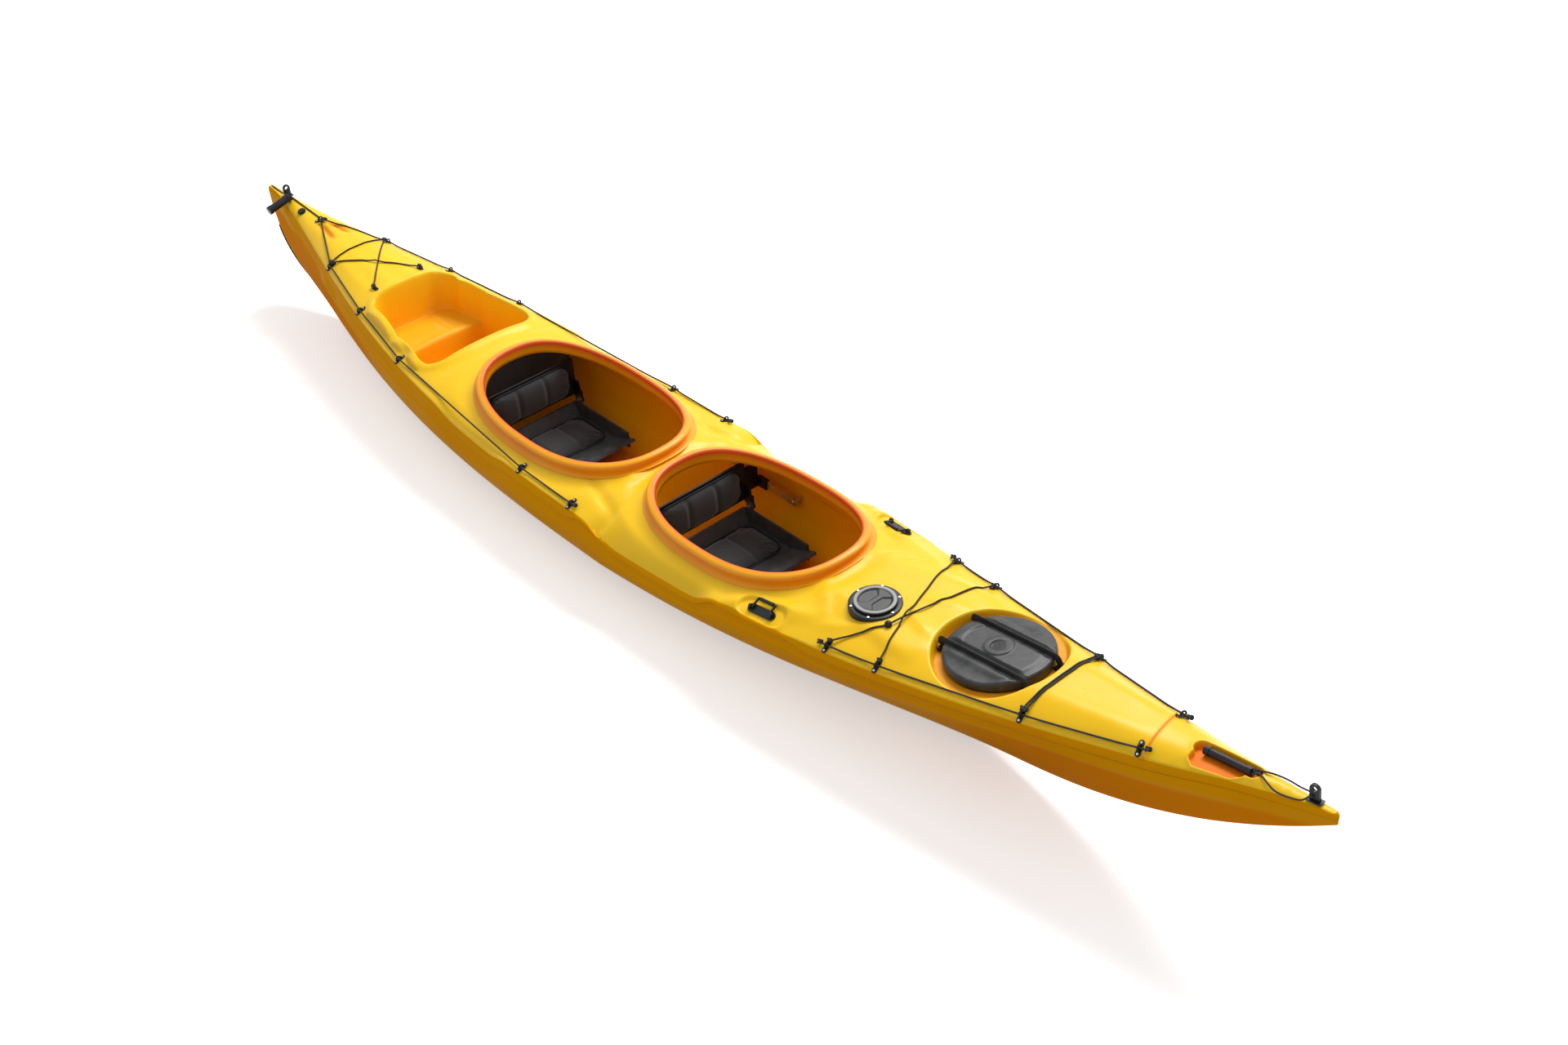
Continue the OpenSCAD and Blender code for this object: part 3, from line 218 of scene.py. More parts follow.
def side_y(x, depth):
    """Half width of the outer skin at a depth under the gunwale, with its flute and two hollows aft."""
    rise = sheer(x) - keel(x) + SECTION_OVER
    n = fullness(x)
    y = half_beam(x)*np.maximum(0, 1 - np.clip(depth/rise, 0, 1)**n)**(1/n)
    low = depth - carve(x)
    flute = FLUTE_DEEP*hump(low, 0.012, 0.026, 0.046, 0.058)*(1 - step(1.5, 2.35, np.abs(x)))
    quarter = QUARTER_DEEP*hump(x, -2.47, -2.36, -2.16, -2.04)*hump(low, 0.012, 0.03, 0.05, 0.085)
    notch = NOTCH_DEEP*hump(x, -2.03, -1.99, -1.94, -1.88)*hump(low, 0.010, 0.02, 0.04, 0.06)
    return y - (flute + quarter + notch)*np.minimum(1, y/0.05)


def side_band(x, depth):
    """The upright band under the gunwale towards each end, above a knuckle where the hull turns under."""
    ends = hump(np.abs(x), 0.9, 1.7, 2.35, 2.66)
    return BAND_OUT*ends*hump(depth - carve(x), 0.0, 0.048, 0.052, 0.105)


def mesh_piece(name, verts, faces, material):
    """A new smooth object at the origin from points and faces."""
    made = bpy.data.meshes.new(name)
    made.from_pydata([tuple(v) for v in verts], [], [tuple(f) for f in faces])
    made.validate()
    made.shade_smooth()
    made.materials.append(material)
    piece = bpy.data.objects.new(name, made)
    scene.collection.objects.link(piece)
    return piece


def points_of(mesh):
    """A mesh's points as rows of x, y and z."""
    at = np.empty(len(mesh.vertices)*3)
    mesh.vertices.foreach_get("co", at)
    return at.reshape(-1, 3)


def mark(piece, name, values):
    """Keeps a number at each point of a piece, for its finish to read."""
    piece.data.attributes.new(name, "FLOAT", "POINT").data.foreach_set("value", values)


def moulded_yellow(name, dark, pale, scuffs, shine, dull):
    """Rotomoulded polyethylene: glossy with a faint orange peel, colour that drifts a little over the
    shell, a deeper orange of painted shade where the shell is hollow, and pale scuffs that run along the
    boat."""
    made, tree, shader = finish_of(name)
    place = add(tree, "ShaderNodeTexCoord").outputs["Object"]
    drift = add(tree, "ShaderNodeTexNoise", {"Vector": place, "Scale": 1000/DRIFT_MM, "Detail": 3.0})
    tint = add(tree, "ShaderNodeMix", {"Factor": drift.outputs["Fac"], "A": linear(dark), "B": linear(pale)},
               data_type="RGBA")
    # Painted shade: the mark read here turns the colour a deeper orange, and the gloss duller, in hollows.
    shade_share = add(tree, "ShaderNodeAttribute", attribute_name="hollow").outputs["Fac"]
    colour = add(tree, "ShaderNodeMix", {"Factor": shade_share, "A": tint.outputs["Result"], "B": linear("#f07c02")},
                 data_type="RGBA")
    stretch = add(tree, "ShaderNodeMapping", {"Vector": place, "Scale": tuple(1000/s for s in SCUFF_MM)})
    lines = add(tree, "ShaderNodeTexNoise", {"Vector": stretch.outputs[0], "Scale": 1.0, "Detail": 6.0,
                                             "Roughness": 0.7})
    patch = add(tree, "ShaderNodeTexNoise", {"Vector": place, "Scale": 1000/PATCH_MM, "Detail": 2.0})
    worn = add(tree, "ShaderNodeMath", {0: lines.outputs["Fac"], 1: patch.outputs["Fac"]},
               operation="MULTIPLY")
    scuff_and_highlight = add(tree, "ShaderNodeMapRange", {"Value": worn.outputs[0], "From Min": 0.33, "From Max": 0.46,
                                           "To Max": scuffs})
    scuffed = add(tree, "ShaderNodeMix", {"Factor": scuff_and_highlight.outputs[0], "A": colour.outputs["Result"],
                                          "B": linear("#fbdc7c")}, data_type="RGBA")
    gloss = add(tree, "ShaderNodeMapRange", {"Value": patch.outputs["Fac"], "From Min": 0.3, "From Max": 0.7,
                                             "To Min": dull, "To Max": dull + 0.11})
    matt = add(tree, "ShaderNodeMath", {0: shade_share, 1: 0.34, 2: gloss.outputs[0]}, operation="MULTIPLY_ADD")
    peel = add(tree, "ShaderNodeTexNoise", {"Vector": place, "Scale": 1000/PEEL_MM, "Detail": 1.0})
    wave = add(tree, "ShaderNodeTexNoise", {"Vector": place, "Scale": 1000/WAVE_MM, "Detail": 2.0})
    fine = add(tree, "ShaderNodeBump", {"Height": peel.outputs["Fac"], "Strength": 0.05, "Distance": 0.001})
    broad = add(tree, "ShaderNodeBump", {"Height": wave.outputs["Fac"], "Strength": 0.12, "Distance": 0.006,
                                         "Normal": fine.outputs[0]})
    feed(shader, {"Base Color": scuffed.outputs["Result"], "Roughness": matt.outputs[0],
                  "Normal": broad.outputs[0], "IOR": 1.51, "Specular IOR Level": shine})
    return made


# The hull's finish is the deck's yellow made darker and more orange: painted shade for the hull's sides.
hull_shaded_yellow = moulded_yellow("rotomoulded_polyethylene_hull_shaded", "#ea9600", "#f4ac04", 0.06, 0.012, 0.45)
t = np.linspace(-1, 1, 181)
hull_x = HALF_LENGTH*(0.6*t + 0.4*np.sin(t*math.pi/2))
hull_x = np.concatenate(([-2.7, -2.6985, -2.695, -2.69], hull_x[np.abs(hull_x) < 2.686],
                         [2.69, 2.695, 2.6985, 2.7]))


def hull_row(x, inner):
    """One section of the hull, port gunwale to starboard gunwale, as points across and down."""
    height = float(sheer(x) - keel(x))
    n = float(fullness(x))
    top = min(SEAM_DEPTH + SEAM_GAP, 0.35*height) + float(carve(x))
    upper = top + RAIL_DEPTHS*min(1.0, 0.45*height/RAIL_DEPTHS[-1])
    low = math.acos(min(1.0, (upper[-1]/(height + SECTION_OVER))**(n/2)))
    angles = np.linspace(low, 0, BILGE_N + 1)[1:]
    lower = np.minimum(height, (height + SECTION_OVER)*np.cos(angles)**(2/n))
    depth = np.concatenate((upper, lower))
    wide = np.concatenate((side_y(x, upper), half_beam(x)*np.sin(angles)**(2/n)))
    wide = wide + side_band(x, depth)*np.minimum(1, wide/0.03)
    if inner:
        fade = np.clip((SOLID_BOW - x if x >= 0 else SOLID_STERN + x)/SOLID_FADE, 0, 1)
        wide = np.maximum(0, wide - min(WALL, float(half_beam(x))*0.6))
        depth = top + (np.maximum(top, depth - KEEL_WALL*np.clip(depth/height, 0, 1)**2) - top)*fade
    z = float(sheer(x)) - depth
    port = [(x, w, h) for w, h in zip(wide, z)]
    return port + [(x, -w, h) for _, w, h in port[-2::-1]]


def skin_grid(rows, flip):
    """Faces between rows of points with the same count."""
    wide = len(rows[0])
    faces = []
    for i in range(len(rows) - 1):
        for j in range(wide - 1):
            a, b = i*wide + j, (i + 1)*wide + j
            faces.append((a, a + 1, b + 1, b) if flip else (a, b, b + 1, a + 1))
    return faces


outer = [hull_row(x, False) for x in hull_x]
inner = [hull_row(x, True) for x in hull_x]
wide = len(outer[0])
verts = [p for r in outer for p in r] + [p for r in inner for p in r]
base = len(hull_x)*wide
faces = skin_grid(outer, False) + [tuple(base + k for k in f) for f in skin_grid(inner, True)]
for i in range(len(hull_x) - 1):
    a, b = i*wide, (i + 1)*wide
    faces.append((a, b, base + b, base + a)[::-1])
    a, b = a + wide - 1, b + wide - 1
    faces.append((a, b, base + b, base + a))
hull = mesh_piece("hull_shell", verts, faces, hull_shaded_yellow)
work = bmesh.new()
work.from_mesh(hull.data)
bmesh.ops.remove_doubles(work, verts=work.verts, dist=0.00002)
bmesh.ops.dissolve_degenerate(work, edges=work.edges, dist=0.00001)
work.to_mesh(hull.data)
work.free()
x, _, z = points_of(hull.data).T
# Painted shade: the hull turns a deeper orange low down towards each end, where it turns under.
mark(hull, "hollow", 0.55*step(0.050, 0.085, sheer(x) - z - carve(x))*step(1.2, 2.0, np.abs(x)))
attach(hull, "boat")
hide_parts("lower_hull")

# Deck: the rotomoulded upper shell in the same yellow polyethylene, 5 mm thick, bonded to the hull.
# One moulding with the hatch recess, a level seat for the deck plate, the toggle pocket and the tank well.
GUNWALE_W = 0.009
HATCH_AT = np.array((1.555, 0.0, 0.376502))
HATCH_TILT = math.radians(6.16094)
HATCH_HOLE, HATCH_SEAT = 0.150, (0.189, 0.209)
PLATE_AT = np.array((1.118, -0.082, 0.38558))
PLATE_HOLE, PLATE_SEAT = 0.062, (0.088, 0.118)
POCKET_X, POCKET_HALF, POCKET_R, POCKET_DEEP, POCKET_LIP = 2.363, 0.105, 0.02225, 0.023, 0.0022
FINGER_ROOM = np.array(((2.276, -0.043), (2.295, -0.056), (2.400, -0.041), (2.425, -0.026), (2.430, 0.0),
                        (2.275, 0.0)))
FINGER_ROUND = 0.005
SIDE_GRIP = np.array((0.83, 0.295528))
GRIP_YAW, GRIP_HALF, GRIP_R, GRIP_SEAT, GRIP_LIP = math.radians(-5.26092), 0.058, 0.030, 0.0021, 0.004
WELL_FRONT, WELL_REAR, WELL_SHELF_X = -1.122, -1.651, -1.4265
WELL_FLOOR, WELL_SHELF, WELL_MARGIN, WELL_ROUND, WELL_LIP = 0.130, 0.235, 0.075, 0.0725, 0.006
WELL_NOTCH, WELL_NOTCH_R, WELL_NOTCH_DEEP = (-1.545, 0.185), 0.020, 0.016
WELL_RIBS = (((-1.452, -0.11), (-1.452, 0.11), 0.012, 0.011), ((-1.27, -0.12), (-1.27, 0.12), 0.005, 0.012),
             ((-1.36, 0), (-1.18, 0), -0.004, 0.012))
ROLL_MIDDLES, ROLL_HALF, ROLL_IN, ROLL_HIGH, ROLL_TILT = (-1.505, -1.275), 0.116, 0.009, 0.009, 0.27
COCKPITS = ((0.47, 0.80, 0.49), (-0.49, 0.88, 0.52))
OVAL_POWER = 2.4
HOLE_OUT, COAMING_OUT, VALLEY_DEEP = 0.00615, 0.046, 0.006
AFT_EYES = (-0.105, -0.400, -1.282, -1.658, -1.995)
SCOOP_REAR, SCOOP_FRONT = np.array((-2.258, 0.016)), np.array((-2.125, 0.036))
SCOOP_DEEP, SCOOP_WIDE = 0.012, 0.011
SLOT_REAR, SLOT_FRONT, SLOT_DEEP, SLOT_WIDE = -2.674, -2.575, 0.008, 0.0055
DIP_X, DIP_Y, DIP_LONG, DIP_WIDE, DIP_LEAN, DIP_DEEP = -0.035, 0.262, 0.085, 0.020, 0.28, 0.013
CREASE_DEEP = 0.0035
FOLDS = (((0.925, 0.115), (1.035, 0.215), 0.007, 0.020), ((0.70, 0.318), (0.93, 0.245), 0.008, 0.026),
         ((1.215, 0.035), (1.345, 0.085), 0.006, 0.018), ((1.165, 0.165), (1.350, 0.185), 0.006, 0.018),
         ((1.02, 0.245), (1.17, 0.165), 0.005, 0.018), ((1.745, 0.075), (2.10, 0.048), 0.003, 0.024),
         ((-1.70, 0.135), (-2.12, 0.075), 0.004, 0.022), ((-1.06, 0.10), (-1.06, 0.24), -0.005, 0.020),
         ((-0.02, 0.10), (-0.02, 0.21), 0.006, 0.022))
FACETS = (((0.935, 0.105), (1.345, 0.160), 0.0075, 0.060), ((0.715, 0.312), (0.985, 0.228), 0.008, 0.042),
          ((-1.715, 0.045), (-2.215, 0.030), 0.005, 0.060), ((1.76, 0.095), (2.115, 0.060), 0.003, 0.045))
GRID, ROUND_N, OVAL_N, EDGE_ROWS = 0.0145, 132, 180, 6


def crown_at(x):
    """How far the deck's middle stands over the gunwale."""
    return 0.062*(0.1 + 0.9*np.maximum(0, 1 - u_of(x)**4)**0.7)


def deck_z(x, y):
    """Height of the plain deck, without what is moulded into it."""
    across = np.minimum(1, np.abs(y)/np.maximum(1e-4, half_beam(x)))
    return sheer(x) + crown_at(x)*(1 - across**2.6)


def oval_out(x, y, cockpit):
    """How far a point lies outside a cockpit's inner edge."""
    middle, long, wide = cockpit
    out = np.zeros_like(x)
    for _ in range(12):
        a, b = long/2 + out, wide/2 + out
        level = (np.abs(x - middle)/a)**OVAL_POWER + (np.abs(y)/b)**OVAL_POWER
        out = np.maximum(-0.9*wide/2, out + 0.5*(level**(1/OVAL_POWER) - 1)*(a + b)/2)
    return out


def oval_ring(cockpit, out, count):
    """Points round a cockpit, at a distance outside its inner edge."""
    middle, long, wide = cockpit
    turn = np.arange(count)*2*math.pi/count
    c, s = np.cos(turn), np.sin(turn)
    power = 2/OVAL_POWER
    return np.stack((middle + (long/2 + out)*np.sign(c)*np.abs(c)**power,
                     (wide/2 + out)*np.sign(s)*np.abs(s)**power), 1)


def well_corners():
    """Corner points of the well's plan, drawn in by the corner radius."""
    back, front = WELL_REAR + WELL_ROUND, WELL_FRONT - WELL_ROUND
    half = [float(half_beam(np.array(x))) - WELL_MARGIN for x in (WELL_REAR, WELL_FRONT)]
    lean = (half[1] - half[0])/(WELL_FRONT - WELL_REAR)
    pull = WELL_ROUND*math.hypot(1, lean)
    side = [half[0] + lean*(x - WELL_REAR) - pull for x in (back, front)]
    return np.array(((back, -side[0]), (front, -side[1]), (front, side[1]), (back, side[0])))


WELL_CORNERS = well_corners()


def rounded_out(x, y, corners, radius):
    """Signed distance to a convex outline in plan with rounded corners, negative inside."""
    p = np.stack((x, y), -1)
    near = np.full(x.shape, 9.0)
    inside = np.ones(x.shape, bool)
    for a, b in zip(corners, np.roll(corners, -1, 0)):
        edge = b - a
        t = np.clip(((p - a) @ edge)/(edge @ edge), 0, 1)
        near = np.minimum(near, np.hypot(*(p - a - t[..., None]*edge).transpose(-1, *range(p.ndim - 1))))
        inside &= edge[0]*(p[..., 1] - a[1]) - edge[1]*(p[..., 0] - a[0]) > 0
    return np.where(inside, -near, near) - radius


def rounded_ring(corners, radius, gap):
    """Points round a convex outline with rounded corners."""
    line = []
    ways = [math.atan2(-e[0], e[1]) for e in np.roll(corners, -1, 0) - corners]
    for k, at in enumerate(corners):
        turn = (ways[k] - ways[k - 1]) % (2*math.pi)
        arc = ways[k - 1] + turn*np.linspace(0.02, 0.98, max(3, int(turn*radius/gap) + 2))
        line.append(at + radius*np.stack((np.cos(arc), np.sin(arc)), 1))
        run = corners[(k + 1) % len(corners)] - at
        start = at + radius*np.array((math.cos(ways[k]), math.sin(ways[k])))
        line.append(start + run*np.linspace(0, 1, max(4, int(np.hypot(*run)/gap)) + 1)[1:-1, None])
    return np.vstack(line)


def well_rolls(x):
    """Two soft rolls, each 230 mm long, along the well's starboard edge."""
    return sum(np.maximum(0, 1 - ((x - middle)/ROLL_HALF)**2)**0.75 for middle in ROLL_MIDDLES)


def well_out(x, y):
    """Signed distance to the well's edge: rolls bulge in along its starboard side, a notch opens to port."""
    notch = np.exp(-((x - WELL_NOTCH[0])**2 + (y - WELL_NOTCH[1])**2)/WELL_NOTCH_R**2)
    rolls = ROLL_IN*well_rolls(x)*step(0.05, 0.12, -y)
    return rounded_out(x, y, WELL_CORNERS, WELL_ROUND) + rolls + WELL_NOTCH_DEEP*notch


def roll_top(x, out):
    """Height that a roll adds: level on top, steep down to the deck line, and clear of the eye beside it."""
    eye = np.exp(-((x - AFT_EYES[2])/0.045)**2)*step(0.000, 0.036, out)
    high = ROLL_HIGH + ROLL_TILT*np.clip(out, 0, 0.040)
    return well_rolls(x)*high*(1 - step(0.035, 0.047, out))*(1 - eye)


def stadium_out(x, y, at, yaw, half, radius):
    """Signed distance to a long oval in plan."""
    c, s = math.cos(yaw), math.sin(yaw)
    run = (x - at[0])*c + (y - at[1])*s
    side = -(x - at[0])*s + (y - at[1])*c
    return np.hypot(np.maximum(0, np.abs(run) - half), side) - radius


def stadium_ring(at, yaw, half, radius):
    """Points round a long oval in plan."""
    points = []
    for end, start in ((1, -90), (-1, 90)):
        for a in np.radians(np.linspace(start, start + 180, 13)):
            points.append((end*half + radius*math.cos(a), radius*math.sin(a)))
    for s in np.linspace(-half, half, 16)[1:-1]:
        points += [(s, radius), (s, -radius)]
    p = np.array(points)
    c, s = math.cos(yaw), math.sin(yaw)
    return np.column_stack((at[0] + p[:, 0]*c - p[:, 1]*s, at[1] + p[:, 0]*s + p[:, 1]*c))


def grip_out(x, y, side):
    """Signed distance to the seat of a side carrying handle."""
    return stadium_out(x, y, SIDE_GRIP*(1, side), side*GRIP_YAW, GRIP_HALF, GRIP_R)


def pocket_out(x, y):
    """Signed distance to the bow pocket: a slot under the toggle, and room beside it for the fingers."""
    slot = stadium_out(x, y, (POCKET_X, 0), 0.0, POCKET_HALF - POCKET_R, POCKET_R)
    return np.minimum(slot, rounded_out(x, y, FINGER_ROOM, FINGER_ROUND))


def hatch_r(x, y):
    """Distance from the hatch's middle, on the hatch's own slope."""
    return np.hypot((x - HATCH_AT[0])/math.cos(HATCH_TILT), y)


def plate_r(x, y):
    """Distance in plan from the deck plate's middle."""
    return np.hypot(x - PLATE_AT[0], y - PLATE_AT[1])


def off_line(x, y, a, b):
    """Share of the way along a straight line in plan, and the distance from it."""
    run = np.array(b) - np.array(a)
    t = np.clip(((x - a[0])*run[0] + (y - a[1])*run[1])/(run @ run), 0, 1)
    return t, np.hypot(x - a[0] - t*run[0], y - a[1] - t*run[1])


def ridge(x, y, a, b, wide):
    """A soft ridge of height 1 along a straight line in plan."""
    t, off = off_line(x, y, a, b)
    return np.exp(-(off/wide)**2)*np.minimum(1, 0.35 + 2.6*np.minimum(t, 1 - t))


def crease(x, y, a, b, wide):
    """A sharp fold of height 1 along a straight line in plan, with flat faces down to each side."""
    return np.maximum(0, 1 - off_line(x, y, a, b)[1]/wide)


def stern_scoops(x, y):
    """A finger hollow on each side of the centreline, just ahead of the last deck eye."""
    return sum(ridge(x, y, SCOOP_REAR*(1, s), SCOOP_FRONT*(1, s), SCOOP_WIDE) for s in (-1, 1))


def bow_crease(y):
    """Where the crease across the foredeck runs, ahead of the hatch."""
    return 2.148 - 0.18*y


def sculpt(x, y):
    """What the moulder drew on the open deck: cut-downs beside the cockpits, a valley round each coaming,
    folds round the deck plate and the hatch, and scoops by the stern."""
    z = np.zeros_like(x)
    edge = np.maximum(0, half_beam(x) - np.abs(y))
    for cockpit in COCKPITS:
        out = oval_out(x, y, cockpit) - COAMING_OUT
        share = np.clip(out/np.maximum(0.001, out + edge), 0, 1)
        nearby = np.abs(x - cockpit[0]) < cockpit[1]/2 + 0.12
        steep = np.clip((share - 0.42)/0.58, 0, 1)
        z -= np.where(nearby, cut_down(x)*(0.22*share + 0.78*steep), 0)
        z -= VALLEY_DEEP*hump(out, -0.004, 0.022, 0.026, 0.085)*step(0.01, 0.05, edge)
    for side in (-1, 1):
        clear = step(-0.002, 0.022, grip_out(x, y, side))
        for form, lines in ((ridge, FOLDS), (crease, FACETS)):
            for a, b, high, wide in lines:
                z += high*form(x, y, (a[0], side*a[1]), (b[0], side*b[1]), wide)*clear
        off = side*y - DIP_Y - DIP_LEAN*(x - DIP_X)
        z -= DIP_DEEP*np.exp(-((x - DIP_X)/DIP_LONG)**2 - (off/DIP_WIDE)**2)
    z -= edge_drop(x)*(1 - step(0.0, EDGE_WIDE, edge))
    z -= CREASE_DEEP*step(-0.004, 0.004, x - bow_crease(y))*step(0.0, 0.02, edge)*(1 - step(2.20, 2.40, x))
    z -= SLOT_DEEP*ridge(x, y, (SLOT_REAR, 0.0), (SLOT_FRONT, 0.0), SLOT_WIDE)
    return z - SCOOP_DEEP*stern_scoops(x, y)


def skin_z(x, y):
    """Height of the moulded deck, and how much painted shade each point takes in a recess, crease or scoop.
    """
    z = deck_z(x, y) + sculpt(x, y)
    shade_share = 0.75*np.exp(-((x - bow_crease(y))/0.005)**2)
    s = step(*HATCH_SEAT, hatch_r(x, y))
    z = (HATCH_AT[2] + (x - HATCH_AT[0])*math.tan(HATCH_TILT))*(1 - s) + z*s
    shade_share = np.maximum(shade_share, 0.55*(1 - s))
    s = step(*PLATE_SEAT, plate_r(x, y))
    z = np.minimum(z, PLATE_AT[2])*(1 - s) + z*s
    out = pocket_out(x, y)
    s = 1 - step(-0.0035, 0.0035, out)
    z = z + (deck_z(x, np.zeros_like(y)) - POCKET_DEEP - z)*s
    z = z + POCKET_LIP*hump(out, -0.002, 0.004, 0.005, 0.012)
    shade_share = np.maximum(shade_share, s)
    for side in (-1, 1):
        out = grip_out(x, y, side)
        z = z - GRIP_SEAT*(1 - step(-0.003, 0.003, out)) + GRIP_LIP*hump(out, 0.0, 0.008, 0.008, 0.03)
    out = well_out(x, y)
    s = 1 - step(-0.016, 0.012, out)
    bed = WELL_SHELF + (WELL_FLOOR - WELL_SHELF)*step(-0.012, 0.012, x - WELL_SHELF_X)
    for a, b, high, wide in WELL_RIBS:
        bed = bed + high*ridge(x, y, a, b, wide)
    lip = (WELL_LIP + np.where(y < 0, 0, 0.005*well_rolls(x)))*(1 - step(0.018, 0.055, out))
    lip = (lip + np.where(y < 0, roll_top(x, out), 0))*step(-0.014, 0.014, out)
    z = z + (bed - z)*s + lip
    shade_share = np.maximum(shade_share, 0.42*s)
    return z, np.maximum(shade_share, 0.85*stern_scoops(x, y))


def unit_ring(count):
    """Points round a circle of radius 1 in plan."""
    turn = np.arange(count)*2*math.pi/count
    return np.column_stack((np.cos(turn), np.sin(turn)))


def deck_points():
    """Plan points of the deck: a base grid, and closer rows along every moulded edge."""
    gx, gy = np.meshgrid(np.arange(-2.68, 2.68, GRID), np.arange(-0.37, 0.371, GRID*0.9))
    gy = gy + np.where(np.round(gx/GRID).astype(int) % 2, GRID*0.25, 0)
    gx, gy = gx.ravel(), gy.ravel()
    keep = np.abs(gy) < half_beam(gx) - np.minimum(GUNWALE_W, 0.5*half_beam(gx)) - 0.014
    for cockpit in COCKPITS:
        keep &= oval_out(gx, gy, cockpit) > 0.052
    keep &= (hatch_r(gx, gy) > 0.222) & (plate_r(gx, gy) > 0.132)
    keep &= (np.abs(pocket_out(gx, gy)) > 0.012) & (np.abs(gx - bow_crease(gy)) > 0.012)
    out = rounded_out(gx, gy, WELL_CORNERS, WELL_ROUND)
    keep &= (out > 0.058) | (out < -0.034)
    keep &= (out > 0) | (np.abs(gx - WELL_SHELF_X) > 0.016)
    for side in (-1, 1):
        out = grip_out(gx, gy, side)
        keep &= (out > 0.016) | (out < -0.008)
    rows = [np.column_stack((gx[keep], gy[keep]))]
    along = np.arange(-2.45, 2.45, 0.012)
    for inset in (0.0105, 0.012, 0.0135, 0.016):
        rows += [np.column_stack((along, side*(half_beam(along) - inset))) for side in (-1, 1)]
    for cockpit in COCKPITS:
        rows += [oval_ring(cockpit, out, OVAL_N) for out in (0.012, 0.02, 0.03, 0.042)]
    ring = unit_ring(ROUND_N)
    for r in (0.158, 0.168, 0.178, 0.187, 0.191, 0.194, 0.197, 0.2, 0.203, 0.206, 0.21, 0.216):
        rows.append(HATCH_AT[:2] + ring*(r*math.cos(HATCH_TILT), r))
    for r in (0.07, 0.078, 0.084, 0.089, 0.094, 0.099, 0.104, 0.11, 0.117, 0.125):
        rows.append(PLATE_AT[:2] + ring[::2]*r)
    for out in (-0.006, -0.0035, -0.0015, 0.0, 0.0015, 0.0035, 0.006, 0.009, 0.012):
        slot = stadium_ring((POCKET_X, 0), 0.0, POCKET_HALF - POCKET_R, POCKET_R + out)
        room = rounded_ring(FINGER_ROOM, FINGER_ROUND + max(out, -0.0045), 0.006)
        rows += [line[pocket_out(*line.T) > out - 0.0006] for line in (slot, room)]
    y = np.arange(-0.084, 0.085, 0.008)
    for dx in (-0.012, -0.008, -0.004, -0.002, 0.0, 0.002, 0.004, 0.008, 0.012):
        rows.append(np.column_stack((bow_crease(y) + dx, y)))
    x = np.arange(-2.682, -2.56, 0.006)
    rows += [np.column_stack((x, np.full_like(x, y))) for y in (-0.006, -0.003, 0.0, 0.003, 0.006)]
    line = SCOOP_REAR + np.linspace(-0.1, 1.1, 24)[:, None]*(SCOOP_FRONT - SCOOP_REAR)
    for side in (-1, 1):
        rows += [(line + (0, off))*(1, side) for off in np.linspace(-0.018, 0.018, 9)]
    for side in (-1, 1):
        rows += [stadium_ring(SIDE_GRIP*(1, side), side*GRIP_YAW, GRIP_HALF, GRIP_R + out)
                 for out in (-0.005, -0.002, 0.001, 0.004, 0.008, 0.012)]
    for out in (-0.030, -0.027, -0.024, -0.021, -0.018, -0.015, -0.012, -0.009, -0.0065, -0.004, -0.0015,
                0.001, 0.0035, 0.006, 0.009, 0.012, 0.017, 0.024, 0.030, 0.034,
                0.037, 0.040, 0.043, 0.046, 0.050):
        rows.append(rounded_ring(WELL_CORNERS, WELL_ROUND + out, 0.009))
    wide = float(half_beam(np.array(WELL_SHELF_X))) - WELL_MARGIN - 0.024
    y = np.arange(-wide, wide, 0.011)
    for dx in (-0.012, -0.009, -0.006, -0.003, 0.0, 0.003, 0.006, 0.009, 0.012):
        rows.append(np.column_stack((np.full_like(y, WELL_SHELF_X + dx), y)))
    return np.vstack(rows)


rim_t = np.linspace(-1, 1, 301)
rim_x = HALF_LENGTH*(0.75*rim_t + 0.25*np.sin(rim_t*math.pi/2))
rim_x = np.concatenate(([-2.7, -2.6994, -2.698, -2.695, -2.69], rim_x[np.abs(rim_x) < 2.686],
                        [2.69, 2.695, 2.698, 2.6994, 2.7]))
rim_y = half_beam(rim_x)
in_x = np.sign(rim_x)*np.minimum(np.abs(rim_x), 2.68 + (np.abs(rim_x) - 2.68)*0.55)
in_y = rim_y - np.minimum(GUNWALE_W, 0.45*rim_y)
loop_x = np.concatenate((rim_x, rim_x[-2:0:-1]))
loop_y = np.concatenate((rim_y, -rim_y[-2:0:-1]))
loop_in = np.column_stack((np.concatenate((in_x, in_x[-2:0:-1])), np.concatenate((in_y, -in_y[-2:0:-1]))))
plan = []
edges = []


def close_loop(points):
    """Adds a closed outline to the plan, as an edge of the deck or of a hole."""
    first = sum(len(p) for p in plan)
    plan.append(points)
    edges.extend((first + k, first + (k + 1) % len(points)) for k in range(len(points)))


